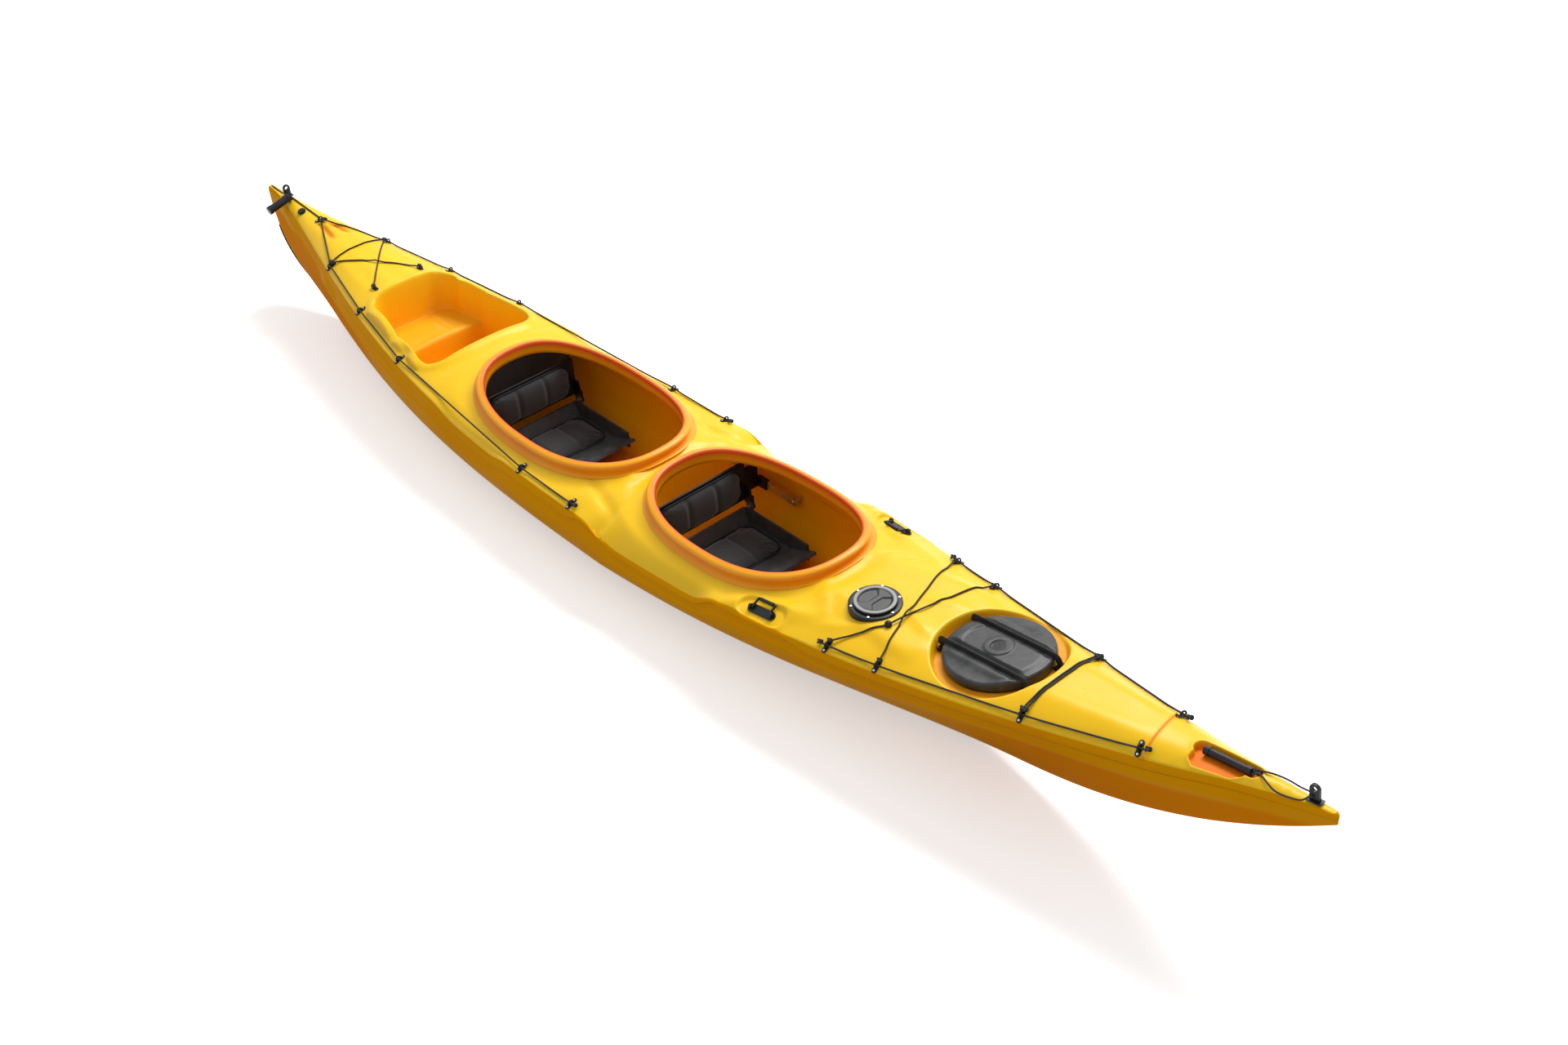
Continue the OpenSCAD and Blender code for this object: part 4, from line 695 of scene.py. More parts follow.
close_loop(loop_in)
for cockpit in COCKPITS:
    close_loop(oval_ring(cockpit, HOLE_OUT, OVAL_N))
close_loop(HATCH_AT[:2] + HATCH_HOLE*(unit_ring(ROUND_N)*(math.cos(HATCH_TILT), 1)))
close_loop(PLATE_AT[:2] + PLATE_HOLE*unit_ring(ROUND_N)[::2])
plan.append(deck_points())
plan = np.vstack(plan)
flat, _, tris, came_from, _, _ = delaunay_2d_cdt([Vector(p) for p in plan], edges, [], 0, 0.00005)
flat = np.array([tuple(v) for v in flat])
tris = np.array(tris)
mid_x, mid_y = flat[tris].mean(1).T
inside = np.abs(mid_y) < np.interp(mid_x, in_x, in_y)
for cockpit in COCKPITS:
    inside &= oval_out(mid_x, mid_y, cockpit) > HOLE_OUT
inside &= (hatch_r(mid_x, mid_y) > HATCH_HOLE) & (plate_r(mid_x, mid_y) > PLATE_HOLE)
tris = tris[inside]
skin, hollow = skin_z(flat[:, 0], flat[:, 1])
verts = [(p[0], p[1], z) for p, z in zip(flat, skin)]
faces = [tuple(int(k) for k in f) for f in tris]
count = len(loop_in)
became = {old: k for k, olds in enumerate(came_from) for old in olds}
edge_row = [became[k] for k in range(count)]
seam = np.minimum(SEAM_DEPTH, 0.3*(sheer(loop_x) - keel(loop_x)))
cut = carve(loop_x)
start = np.array([verts[k] for k in edge_row])
corner = np.column_stack((loop_x, loop_y, sheer(loop_x) + 0.0008 - cut))
last = np.column_stack((loop_x, np.sign(loop_y)*side_y(loop_x, seam + cut), sheer(loop_x) - seam - cut))
rows = [edge_row]
for i in range(1, EDGE_ROWS + 1):
    s = i/EDGE_ROWS
    rows.append(list(range(len(verts), len(verts) + count)))
    verts += [tuple(p) for p in start*(1 - s)**2 + corner*2*s*(1 - s) + last*s*s]
for upper, lower in zip(rows, rows[1:]):
    for k in range(count):
        n = (k + 1) % count
        faces.append((upper[k], upper[n], lower[n], lower[k]))
deck_yellow = moulded_yellow("rotomoulded_polyethylene_deck", "#fbc40c", "#ffd01c", 0.15, 0.26, 0.27)
deck = mesh_piece("deck_shell", verts, faces, deck_yellow)
# Painted shade: a deeper orange in the deck's recesses, crease, pocket, well and scoops.
mark(deck, "hollow", np.concatenate((hollow, np.zeros(count*EDGE_ROWS))))
slim = deck.vertex_groups.new(name="wall")
for k, v in enumerate(verts):
    slim.add([k], float(np.clip(half_beam(np.array(v[0]))/0.05, 0.12, 1)), "REPLACE")
shell = deck.modifiers.new("wall", "SOLIDIFY")
shell.thickness = WALL
shell.offset = -1
shell.vertex_group = "wall"
# The roll under the deck's knuckle takes the hull's darker finish: painted shade along the deck line.
deck.data.materials.append(hull_shaded_yellow)
deck.data.polygons.foreach_set("material_index", np.repeat((0, 1), (len(tris), len(faces) - len(tris))))
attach(deck, "boat")
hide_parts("deck")

# Coamings: a separate rolled rim bonded into each cockpit opening, in orange-yellow polyethylene.
# A spigot goes into the deck, a skirt lies on it, and the rolled lip takes the spray skirt's cord.
COAMING_PROFILE = ((0, -12), (0, 0), (0, 14), (0, 26), (1.2, 31), (4.5, 34.6), (10, 36), (17, 35.9),
                   (23, 34.8), (27.6, 32.2), (30, 28.8), (28.8, 25.6), (24.5, 23.4), (18.5, 22.2),
                   (15.2, 19.5), (14.4, 15), (15.4, 10.5), (18.5, 7.6), (24, 5.9), (32, 4.6), (41, 3.3),
                   (44, 2.4), (44.4, 1.6), (43.4, 1.1), (30, 1.0), (12, 1.0), (6.4, 1.0), (5.5, 0.2),
                   (5.5, -6), (5.5, -12), (2.8, -12.4))
COAMING_N = 200
LIP_SHADE = {2: 0.35, 3: 1.0, 4: 1.0, 5: 1.0, 6: 0.35}
COAMING_DRIFT_MM, COAMING_PEEL_MM = 166.7, 3.333


def turned(name, rings, finish, closed):
    """A piece of stacked rings of equal count, joined to a tube or filled at both ends."""
    n = len(rings[0])
    pairs = [(j, j + 1) for j in range(len(rings) - 1)] + ([(len(rings) - 1, 0)] if closed else [])
    faces = [(a*n + k, b*n + k, b*n + (k + 1) % n, a*n + (k + 1) % n) for a, b in pairs for k in range(n)]
    if not closed:
        faces += [tuple(range(n)), tuple(range(len(rings)*n - 1, (len(rings) - 1)*n - 1, -1))]
    piece = mesh_piece(name, np.vstack(rings), faces, finish)
    work = bmesh.new()
    work.from_mesh(piece.data)
    bmesh.ops.recalc_face_normals(work, faces=work.faces)
    work.to_mesh(piece.data)
    work.free()
    return piece


# Moulded polyethylene: a soft sheen over a fine orange peel, and a redder painted shade on the lip's inner
# curl.
coaming_orange, tree, shader = finish_of("moulded_polyethylene_coaming")
place = add(tree, "ShaderNodeTexCoord").outputs["Object"]
drift = add(tree, "ShaderNodeTexNoise", {"Vector": place, "Scale": 1000/COAMING_DRIFT_MM, "Detail": 3.0})
tint = add(tree, "ShaderNodeMix", {"Factor": drift.outputs["Fac"], "A": linear("#fb9c10"),
                                   "B": linear("#ffb418")}, data_type="RGBA")
lip = add(tree, "ShaderNodeAttribute", attribute_name="lip")
colour = add(tree, "ShaderNodeMix", {"Factor": lip.outputs["Fac"], "A": tint.outputs["Result"],
                                     "B": linear("#e4571a")}, data_type="RGBA")
peel = add(tree, "ShaderNodeTexNoise", {"Vector": place, "Scale": 1000/COAMING_PEEL_MM, "Detail": 1.0})
bump = add(tree, "ShaderNodeBump", {"Height": peel.outputs["Fac"], "Strength": 0.06, "Distance": 0.001})
feed(shader, {"Base Color": colour.outputs["Result"], "Normal": bump.outputs[0], "Roughness": 0.3,
              "Specular IOR Level": 0.3})
for name, cockpit in (("front_coaming", COCKPITS[0]), ("rear_coaming", COCKPITS[1])):
    rings = []
    for out, up in COAMING_PROFILE:
        line = oval_ring(cockpit, out/1000, COAMING_N)
        rings.append(np.column_stack((line, deck_z(line[:, 0], line[:, 1]) + up/1000)))
    piece = turned(name + "_rim", rings, coaming_orange, True)
    # Painted shade: the top of the inner wall and the lip's inner curl take the redder orange.
    mark(piece, "lip", np.repeat([LIP_SHADE.get(j, 0.0) for j in range(len(rings))], COAMING_N))
    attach(piece, "boat")
    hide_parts(name)

# Bulkheads: two slabs of grey closed-cell foam, pressed in across the hull and glued. They close off the
# bow hold and the stern, and show only through the cockpits and the hatch.
FOAM_CELL_MM, FOAM_CLOUD_MM = 2.0, 83.33


def dress(material, *names):
    """Gives CAD solids that stay in view their finish."""
    for name in names:
        nodes[name].data.materials.clear()
        nodes[name].data.materials.append(material)


# Cut foam: dull, with open cells. The real cells are under 1 mm, drawn at 2 mm so that they show.
foam_grey, tree, shader = finish_of("closed_cell_foam")
place = add(tree, "ShaderNodeTexCoord").outputs["Object"]
cells = add(tree, "ShaderNodeTexVoronoi", {"Vector": place, "Scale": 1000/FOAM_CELL_MM})
cloud = add(tree, "ShaderNodeTexNoise", {"Vector": place, "Scale": 1000/FOAM_CLOUD_MM, "Detail": 3.0})
tint = add(tree, "ShaderNodeMix", {"Factor": cloud.outputs["Fac"], "A": linear("#4c4e50"),
                                   "B": linear("#63656a")}, data_type="RGBA")
pits = add(tree, "ShaderNodeBump", {"Height": cells.outputs["Distance"], "Strength": 0.4, "Distance": 0.001})
feed(shader, {"Base Color": tint.outputs["Result"], "Normal": pits.outputs[0], "Roughness": 0.88})
dress(foam_grey, "bow_bulkhead", "stern_bulkhead")

# Bow hatch: a black moulded rim screwed in the recess, a rubber seal, and a grey moulded lid that caps them.
# The lid has a raised field with a dished disc, and two grooves beside it that keep the straps in place.
LID_R, LID_IN_R, LID_Z, LID_T, LID_ROUND = 0.168, 0.162, 0.0296, 0.008, 0.010
LID_SKIRT_Z, LID_LEAST, LID_CROWN, EDGE_FALL = 0.006, 0.0022, 0.0012, 0.008
STRAP_Y, STRAP_W = 0.070, 0.025
GROOVE_DEEP, GROOVE_ROOM, GROOVE_LIP = 0.0034, 0.004, 0.0026
FIELD_RISE, AFT_RISE, WING_DROP = 0.0055, 0.0030, 0.0050
DISC_R, DISC_RISE, DISH_R, DISH_DEEP = 0.0455, 0.0040, 0.026, 0.0075
LID_N = 240
BLOOM_MM = 45.45
hatch_axis = np.array((math.cos(HATCH_TILT), 0.0, math.sin(HATCH_TILT)))
hatch_up = np.array((-math.sin(HATCH_TILT), 0.0, math.cos(HATCH_TILT)))


def on_hatch(points):
    """Points in the hatch's own frame to the boat's frame."""
    points = np.asarray(points, float)
    across = np.array((0.0, 1.0, 0.0))
    return HATCH_AT + points[:, :1]*hatch_axis + points[:, 1:2]*across + points[:, 2:]*hatch_up


def grained_plastic(name, dark, pale, grain_mm, rough, relief=0.3, shine=0.5):
    """Injection-moulded plastic: an even colour with a faint dusty bloom, a pale painted highlight where a
    piece is marked for one, and an eroded grain. The real grain is near 0.3 mm, drawn at 1 to 2 mm so
    that it shows."""
    made, tree, shader = finish_of(name)
    place = add(tree, "ShaderNodeTexCoord").outputs["Object"]
    cloud = add(tree, "ShaderNodeTexNoise", {"Vector": place, "Scale": 1000/BLOOM_MM, "Detail": 5.0,
                                             "Roughness": 0.62})
    bloom = add(tree, "ShaderNodeMapRange", {"Value": cloud.outputs["Fac"], "From Min": 0.36,
                                             "From Max": 0.70})
    tint = add(tree, "ShaderNodeMix", {"Factor": bloom.outputs[0], "A": linear(dark), "B": linear(pale)},
               data_type="RGBA")
    # Painted highlight: the mark read here turns the colour pale grey, for a bright reflection.
    painted_highlight = add(tree, "ShaderNodeAttribute", attribute_name="worn")
    colour = add(tree, "ShaderNodeMix", {"Factor": painted_highlight.outputs["Fac"], "A": tint.outputs["Result"],
                                         "B": linear("#c6c7c3")}, data_type="RGBA")
    gloss = add(tree, "ShaderNodeMapRange", {"Value": cloud.outputs["Fac"], "From Min": 0.3, "From Max": 0.7,
                                             "To Min": rough - 0.05, "To Max": rough + 0.09})
    grain = add(tree, "ShaderNodeTexNoise", {"Vector": place, "Scale": 1000/grain_mm, "Detail": 2.0})
    skin = add(tree, "ShaderNodeBump", {"Height": grain.outputs["Fac"], "Strength": relief,
                                        "Distance": 0.0006})
    feed(shader, {"Base Color": colour.outputs["Result"], "Roughness": gloss.outputs[0],
                  "Normal": skin.outputs[0], "Specular IOR Level": shine})
    return made


black_plastic = grained_plastic("moulded_black_nylon", "#0f1013", "#1c1e21", 1.2, 0.40, 0.3, 0.30)
black_rubber = grained_plastic("soft_black_rubber", "#101011", "#1b1b1c", 2.0, 0.68, 0.3, 0.30)
lid_grey = grained_plastic("moulded_grey_polyethylene", "#292b2b", "#454643", 1.6, 0.33, 0.22, 0.28)
dress(black_plastic, "bow_hatch_rim", "hatch_strap_anchors", "hatch_buckles")
dress(black_rubber, "bow_hatch_seal")


def lid_top(x, y):
    """Height of the lid's upper face in the hatch's frame."""
    r, off = np.hypot(x, y), np.abs(y)
    aft = -0.098 - 0.020*(1 - (y/0.055)**2)
    z = LID_Z + LID_T + LID_CROWN*(1 - (r/LID_R)**2)
    z += AFT_RISE*(1 - step(-0.004, 0.004, x - aft))*(1 - step(0.046, 0.054, off))*(1 - step(0.150, 0.158, r))
    z += DISC_RISE*(1 - step(-0.005, 0.004, r - DISC_R))
    z -= DISH_DEEP*(1 - step(-0.004, 0.002, r - DISH_R))*np.clip(0.45 - (x + y)/0.07, 0, 1)
    z -= GROOVE_DEEP*(1 - step(-0.003, 0.003, np.abs(off - STRAP_Y) - STRAP_W/2 - GROOVE_ROOM))
    z -= WING_DROP*step(0.086, 0.150, off)
    z += FIELD_RISE*(1 - step(0.0465, 0.0530, off))*(1 - step(0.128, 0.158, r))
    z += GROOVE_LIP*hump(off, 0.0865, 0.0905, 0.095, 0.125)*(1 - step(0.135, 0.158, r))
    edge = np.clip((r - LID_R + LID_ROUND)/LID_ROUND, 0, 1)
    return np.maximum(z, LID_Z + LID_LEAST) - EDGE_FALL*(1 - np.sqrt(1 - edge**2))


def round_ring(r, high, count):
    """Points round a circle, at one height or at the height that a function of x and y gives."""
    x, y = (r*unit_ring(count)).T
    return np.column_stack((x, y, high(x, y) if callable(high) else np.full(count, high)))


radii = np.concatenate((np.linspace(0.004, 0.15, 60), np.linspace(0.1525, LID_R - LID_ROUND, 4),
                        LID_R - LID_ROUND + LID_ROUND*np.sin(np.linspace(0.2, 1.0, 7)*math.pi/2)))
under = ((LID_R, 0.022), (LID_R + 0.0004, 0.012), (LID_R, LID_SKIRT_Z), (LID_IN_R, LID_SKIRT_Z),
         (LID_IN_R, 0.018), (LID_IN_R, LID_Z), (0.08, LID_Z), (0.004, LID_Z))
rings = [round_ring(r, lid_top, LID_N) for r in radii] + [round_ring(r, z, LID_N) for r, z in under]
lid = turned("bow_hatch_cap", [on_hatch(ring) for ring in rings], lid_grey, False)
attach(lid, "hatch_lid")
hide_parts("bow_hatch_lid")

# Hatch straps: black woven nylon webbing, 25 mm wide, that lies in the lid's grooves.
# Each end turns down over the lid's edge to a buckle, which clips to an anchor in the recess.
STRAP_ARM = ((0.15825, 0.0349), (0.1625, 0.0343), (0.16525, 0.0319), (0.16725, 0.0287), (0.16825, 0.0249),
             (0.16925, 0.0183), (0.17325, 0.0123))
STRAP_T, STRAP_FILLET = 0.0024, 0.0009
WEFT_MM, WARP_ENDS = 2.4, 18


def route_tree(name, flat):
    """A node tree that lays a cord, or a flat strap, along the route it is given."""
    tree = bpy.data.node_groups.new(name, "GeometryNodeTree")
    face = tree.interface
    face.new_socket("Route", in_out="INPUT", socket_type="NodeSocketGeometry")
    for size in ("Width", "Thickness") if flat else ("Diameter",):
        face.new_socket(size, in_out="INPUT", socket_type="NodeSocketFloat")
    face.new_socket("Finish", in_out="INPUT", socket_type="NodeSocketMaterial")
    face.new_socket("Laid", in_out="OUTPUT", socket_type="NodeSocketGeometry")
    start = tree.nodes.new("NodeGroupInput").outputs
    line = add(tree, "GeometryNodeMeshToCurve", {"Mesh": start["Route"]})
    line = add(tree, "GeometryNodeSetCurveNormal", {"Curve": line.outputs[0]}, mode="Z_UP")
    far = add(tree, "GeometryNodeSplineParameter")
    line = add(tree, "GeometryNodeStoreNamedAttribute",
               {"Geometry": line.outputs[0], "Name": "along", "Value": far.outputs["Length"]},
               data_type="FLOAT", domain="POINT")
    if flat:
        shape = add(tree, "GeometryNodeCurvePrimitiveQuadrilateral",
                    {"Width": start["Thickness"], "Height": start["Width"]})
        shape = add(tree, "GeometryNodeFilletCurve",
                    {"Curve": shape.outputs[0], "Radius": STRAP_FILLET, "Count": 2}, mode="POLY")
    else:
        half = add(tree, "ShaderNodeMath", {0: start["Diameter"], 1: 0.5}, operation="MULTIPLY")
        shape = add(tree, "GeometryNodeCurvePrimitiveCircle", {"Resolution": 10, "Radius": half.outputs[0]})
    turn = add(tree, "GeometryNodeSplineParameter")
    shape = add(tree, "GeometryNodeStoreNamedAttribute",
                {"Geometry": shape.outputs[0], "Name": "around", "Value": turn.outputs["Factor"]},
                data_type="FLOAT", domain="POINT")
    tube = add(tree, "GeometryNodeCurveToMesh", {"Curve": line.outputs[0], "Profile Curve": shape.outputs[0],
                                                 "Fill Caps": True})
    solid = add(tree, "GeometryNodeRealizeInstances", {"Geometry": tube.outputs[0]})
    done = add(tree, "GeometryNodeSetMaterial", {"Geometry": solid.outputs[0], "Material": start["Finish"]})
    add(tree, "NodeGroupOutput", {"Laid": done.outputs[0]})
    return tree


def laid_piece(name, routes, tree, sizes):
    """A plain mesh that a node tree lays along one or more routes of points. A closed route repeats its
    first point."""
    verts, edges = [], []
    for route in routes:
        first = len(verts)
        closed = np.allclose(route[0], route[-1])
        verts += [tuple(p) for p in (route[:-1] if closed else route)]
        edges += [(k, k + 1) for k in range(first, len(verts) - 1)]
        if closed:
            edges.append((len(verts) - 1, first))
    guide = bpy.data.meshes.new(name)
    guide.from_pydata(verts, edges, [])
    piece = bpy.data.objects.new(name, guide)
    scene.collection.objects.link(piece)
    maker = piece.modifiers.new("laid", "NODES")
    maker.node_group = tree
    for item in tree.interface.items_tree:
        if item.in_out == "INPUT" and item.name in sizes:
            maker[item.identifier] = sizes[item.name]
    bpy.context.view_layer.update()
    made = bpy.data.meshes.new_from_object(piece.evaluated_get(bpy.context.evaluated_depsgraph_get()))
    piece.modifiers.remove(maker)
    piece.data = made
    made.shade_smooth()
    return piece


def smooth_route(points, gap):
    """Points closer together on one smooth curve through the given ones."""
    p = np.asarray(points, float)
    p = np.vstack((2*p[0] - p[1], p, 2*p[-1] - p[-2]))
    found = []
    for k in range(1, len(p) - 2):
        legs = np.linalg.norm(np.diff(p[k - 1:k + 3], axis=0), axis=1)
        knots = np.concatenate(([0], np.cumsum(np.sqrt(legs))))
        steps = max(1, int(np.linalg.norm(p[k + 1] - p[k])/gap))
        for t in np.linspace(knots[1], knots[2], steps, endpoint=False):
            a = [((knots[i + 1] - t)*p[k - 1 + i] + (t - knots[i])*p[k + i])/(knots[i + 1] - knots[i])
                 for i in range(3)]
            b = [((knots[i + 2] - t)*a[i] + (t - knots[i])*a[i + 1])/(knots[i + 2] - knots[i])
                 for i in range(2)]
            found.append(((knots[2] - t)*b[0] + (t - knots[1])*b[1])/(knots[2] - knots[1]))
    return np.vstack((found, p[-2]))


# Woven nylon: matt, with slanting ribs. The real weft is near 1.2 mm, drawn at 2.4 mm so that it shows.
webbing, tree, shader = finish_of("woven_nylon_webbing")
far = add(tree, "ShaderNodeAttribute", attribute_name="along").outputs["Fac"]
turn_at = add(tree, "ShaderNodeAttribute", attribute_name="around").outputs["Fac"]
picks = add(tree, "ShaderNodeMath", {0: far, 1: 2*math.pi*1000/WEFT_MM}, operation="MULTIPLY")
warp = add(tree, "ShaderNodeMath", {0: turn_at, 1: 2*math.pi*WARP_ENDS}, operation="MULTIPLY")
lean = add(tree, "ShaderNodeMath", {0: picks.outputs[0], 1: warp.outputs[0]}, operation="ADD")
rib = add(tree, "ShaderNodeMath", {0: lean.outputs[0]}, operation="SINE")
rib = add(tree, "ShaderNodeMapRange", {"Value": rib.outputs[0], "From Min": -1.0})
tint = add(tree, "ShaderNodeMix", {"Factor": rib.outputs[0], "A": linear("#0c0c0e"), "B": linear("#202125")},
           data_type="RGBA")
relief = add(tree, "ShaderNodeBump", {"Height": rib.outputs[0], "Strength": 0.5, "Distance": 0.0006})
feed(shader, {"Base Color": tint.outputs["Result"], "Normal": relief.outputs[0], "Roughness": 0.72})
strap_nodes = route_tree("webbing_along_a_route", True)
for name, side in (("hatch_strap_port", 1), ("hatch_strap_stbd", -1)):
    arm = [(x, side*STRAP_Y, z + STRAP_T/2) for x, z in STRAP_ARM]
    middle = [(x, side*STRAP_Y, STRAP_ARM[0][1] + STRAP_T/2) for x in np.linspace(-0.15, 0.15, 9)]
    route = on_hatch([(-x, y, z) for x, y, z in arm[::-1]] + middle + arm)
    strap = laid_piece(name + "_webbing", [route], strap_nodes,
                       {"Width": STRAP_W, "Thickness": STRAP_T, "Finish": webbing})
    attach(strap, "hatch_lid")
    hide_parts(name)

# Deck plate: a screw-in access plate that stands level on the sloping deck, on a deep black collar held
# by six stainless screws. The cap is moulded in the lid's grey, dished, with a bar to turn it by, and has a
# pale painted highlight round its rim.
COLLAR_PROFILE = ((0.0560, -0.026), (0.0560, 0.0046), (0.0564, 0.0050), (0.0812, 0.0050), (0.0826, 0.0044),
                  (0.0836, 0.0030), (0.0842, -0.004), (0.0846, -0.020), (0.0620, -0.020), (0.0615, -0.026))
CAP_R, CAP_DISH_R, CAP_RISE, CAP_FLOOR, CAP_UP, CAP_ROUND = 0.068, 0.052, 0.0070, 0.0022, 0.0080, 0.004
PLUG_R, PLUG_DEEP = 0.0556, 0.024
BAR_HALF, BAR_WEB = 0.0085, 0.022
CAP_N, RIM_HIGHLIGHT = 120, 0.55
LATHE_MM = 1.111
# Turned stainless steel: bright, with fine tool marks, drawn near 1 mm so that they show.
steel, tree, shader = finish_of("turned_stainless_steel")
place = add(tree, "ShaderNodeTexCoord").outputs["Object"]
lathe = add(tree, "ShaderNodeTexNoise", {"Vector": place, "Scale": 1000/LATHE_MM, "Detail": 2.0})
dull = add(tree, "ShaderNodeMapRange", {"Value": lathe.outputs["Fac"], "To Min": 0.24, "To Max": 0.42})
feed(shader, {"Base Color": linear("#c4c5c6"), "Roughness": dull.outputs[0], "Metallic": 1.0})
dress(black_rubber, "deck_plate_oring")
dress(steel, "deck_plate_screws")


def cap_top(x, y):
    """Height of the cap's upper face over its seat: a rim, a dish, and a bar that widens into the rim."""
    r = np.hypot(x, y)
    dish = 1 - step(-0.004, 0.003, r - CAP_DISH_R)
    flare = BAR_HALF + 1.1*np.maximum(0, np.abs(y) - BAR_WEB)
    bar = 1 - step(-0.002, 0.003, np.abs(x) - flare)
    edge = np.clip((r - CAP_R + CAP_ROUND)/CAP_ROUND, 0, 1)
    return CAP_RISE - (CAP_RISE - CAP_FLOOR)*dish*(1 - 0.8*bar) - CAP_ROUND*(1 - np.sqrt(1 - edge**2))


collar = turned("deck_plate_ring", [PLATE_AT + round_ring(r, z, CAP_N) for r, z in COLLAR_PROFILE],
                black_plastic, True)
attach(collar, "boat")
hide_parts("deck_plate_collar")
radii = np.concatenate((np.linspace(0.0015, 0.0465, 31), np.linspace(0.048, 0.057, 10),
                        np.linspace(0.059, 0.064, 4),
                        CAP_R - CAP_ROUND + CAP_ROUND*np.sin(np.linspace(0.25, 1.0, 4)*math.pi/2)))
under = ((CAP_R, 0.0), (PLUG_R, 0.0), (PLUG_R, -PLUG_DEEP), (0.02, -PLUG_DEEP))
rings = [round_ring(r, cap_top, CAP_N) for r in radii] + [round_ring(r, z, CAP_N) for r, z in under]
cap = turned("deck_plate_cap_dished", [PLATE_AT + (0, 0, CAP_UP) + ring for ring in rings], lid_grey, False)
# Painted highlight: a pale ring near the cap's rim.
scuff_and_highlight = np.concatenate((RIM_HIGHLIGHT*hump(radii, 0.0545, 0.0585, 0.0650, 0.0675), np.zeros(len(under))))
mark(cap, "worn", np.repeat(scuff_and_highlight, CAP_N))
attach(cap, "deck_plate_cap")
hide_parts("deck_plate_lid")

# Seats: a moulded grey pan on a pedestal for each paddler, with a folding backrest on two stainless pins.
# The pan and the back each carry a foam pad in black woven cover, sewn in three channels with a welt.
SEATS = (("front", 0.330, 0.008817, "front_back"), ("rear", -0.670, 0.008069, "rear_back"))
PADS = (("seat", 0.205, 0.360, 0.010, 0.020), ("backrest", 0.144, 0.370, 0.010, 0.022))
PAN_BACK, PAN_UP, BACK_AFT, BACK_UP = 0.0495, 0.0487, 0.1753, 0.211
PAD_CORNER, PAD_CORNER_N = 0.045, 22
PAD_VOXEL, PAD_SWELL, CHANNEL_DEEP, CHANNEL_WIDE = 0.005, 0.006, 0.0065, 0.009
PAD_INSET, WELT_INSET, WELT_D = 0.012, 0.006, 0.005
THREAD_MM, PAD_WEAR_MM = 3.0, 111.1
seat_grey = grained_plastic("moulded_seat_polyethylene", "#2f3133", "#454749", 1.5, 0.46)
dress(seat_grey, "front_seat", "rear_seat")
dress(black_plastic, "front_backrest", "rear_backrest")
dress(steel, "backrest_pins")
# Woven polyester: dull, with a faint sheen. The real thread is near 0.6 mm, drawn at 3 mm so that it shows.
pad_cloth, tree, shader = finish_of("woven_polyester_cover")
place = add(tree, "ShaderNodeTexCoord").outputs["Object"]
along = add(tree, "ShaderNodeSeparateXYZ", {0: place}).outputs
lift = add(tree, "ShaderNodeMath", {0: along["X"], 1: along["Z"]}, operation="ADD")
threads = []
for source in (lift.outputs[0], along["Y"]):
    turns = add(tree, "ShaderNodeMath", {0: source, 1: 2*math.pi*1000/THREAD_MM}, operation="MULTIPLY")
    threads.append(add(tree, "ShaderNodeMath", {0: turns.outputs[0]}, operation="SINE").outputs[0])
weave = add(tree, "ShaderNodeMath", {0: threads[0], 1: threads[1]}, operation="MULTIPLY")
weave = add(tree, "ShaderNodeMapRange", {"Value": weave.outputs[0], "From Min": -1.0})
worn = add(tree, "ShaderNodeTexNoise", {"Vector": place, "Scale": 1000/PAD_WEAR_MM, "Detail": 4.0})
tone = add(tree, "ShaderNodeMath", {0: weave.outputs[0], 1: worn.outputs["Fac"]}, operation="MULTIPLY")
tint = add(tree, "ShaderNodeMix", {"Factor": tone.outputs[0], "A": linear("#151619"), "B": linear("#3a3c40")},
           data_type="RGBA")
relief = add(tree, "ShaderNodeBump", {"Height": weave.outputs[0], "Strength": 0.35, "Distance": 0.0008})
feed(shader, {"Base Color": tint.outputs["Result"], "Normal": relief.outputs[0], "Roughness": 0.86,
              "Sheen Weight": 0.25})


def pad_outline(long, wide):
    """A rounded oblong, as plan points."""
    points = []
    for k, (sx, sy) in enumerate(((1, 1), (-1, 1), (-1, -1), (1, -1))):
        middle = np.array((sx*(long/2 - PAD_CORNER), sy*(wide/2 - PAD_CORNER)))
        for a in np.radians(np.linspace(90*k, 90*k + 90, PAD_CORNER_N)):
            points.append(middle + PAD_CORNER*np.array((math.cos(a), math.sin(a))))
    return np.array(points)


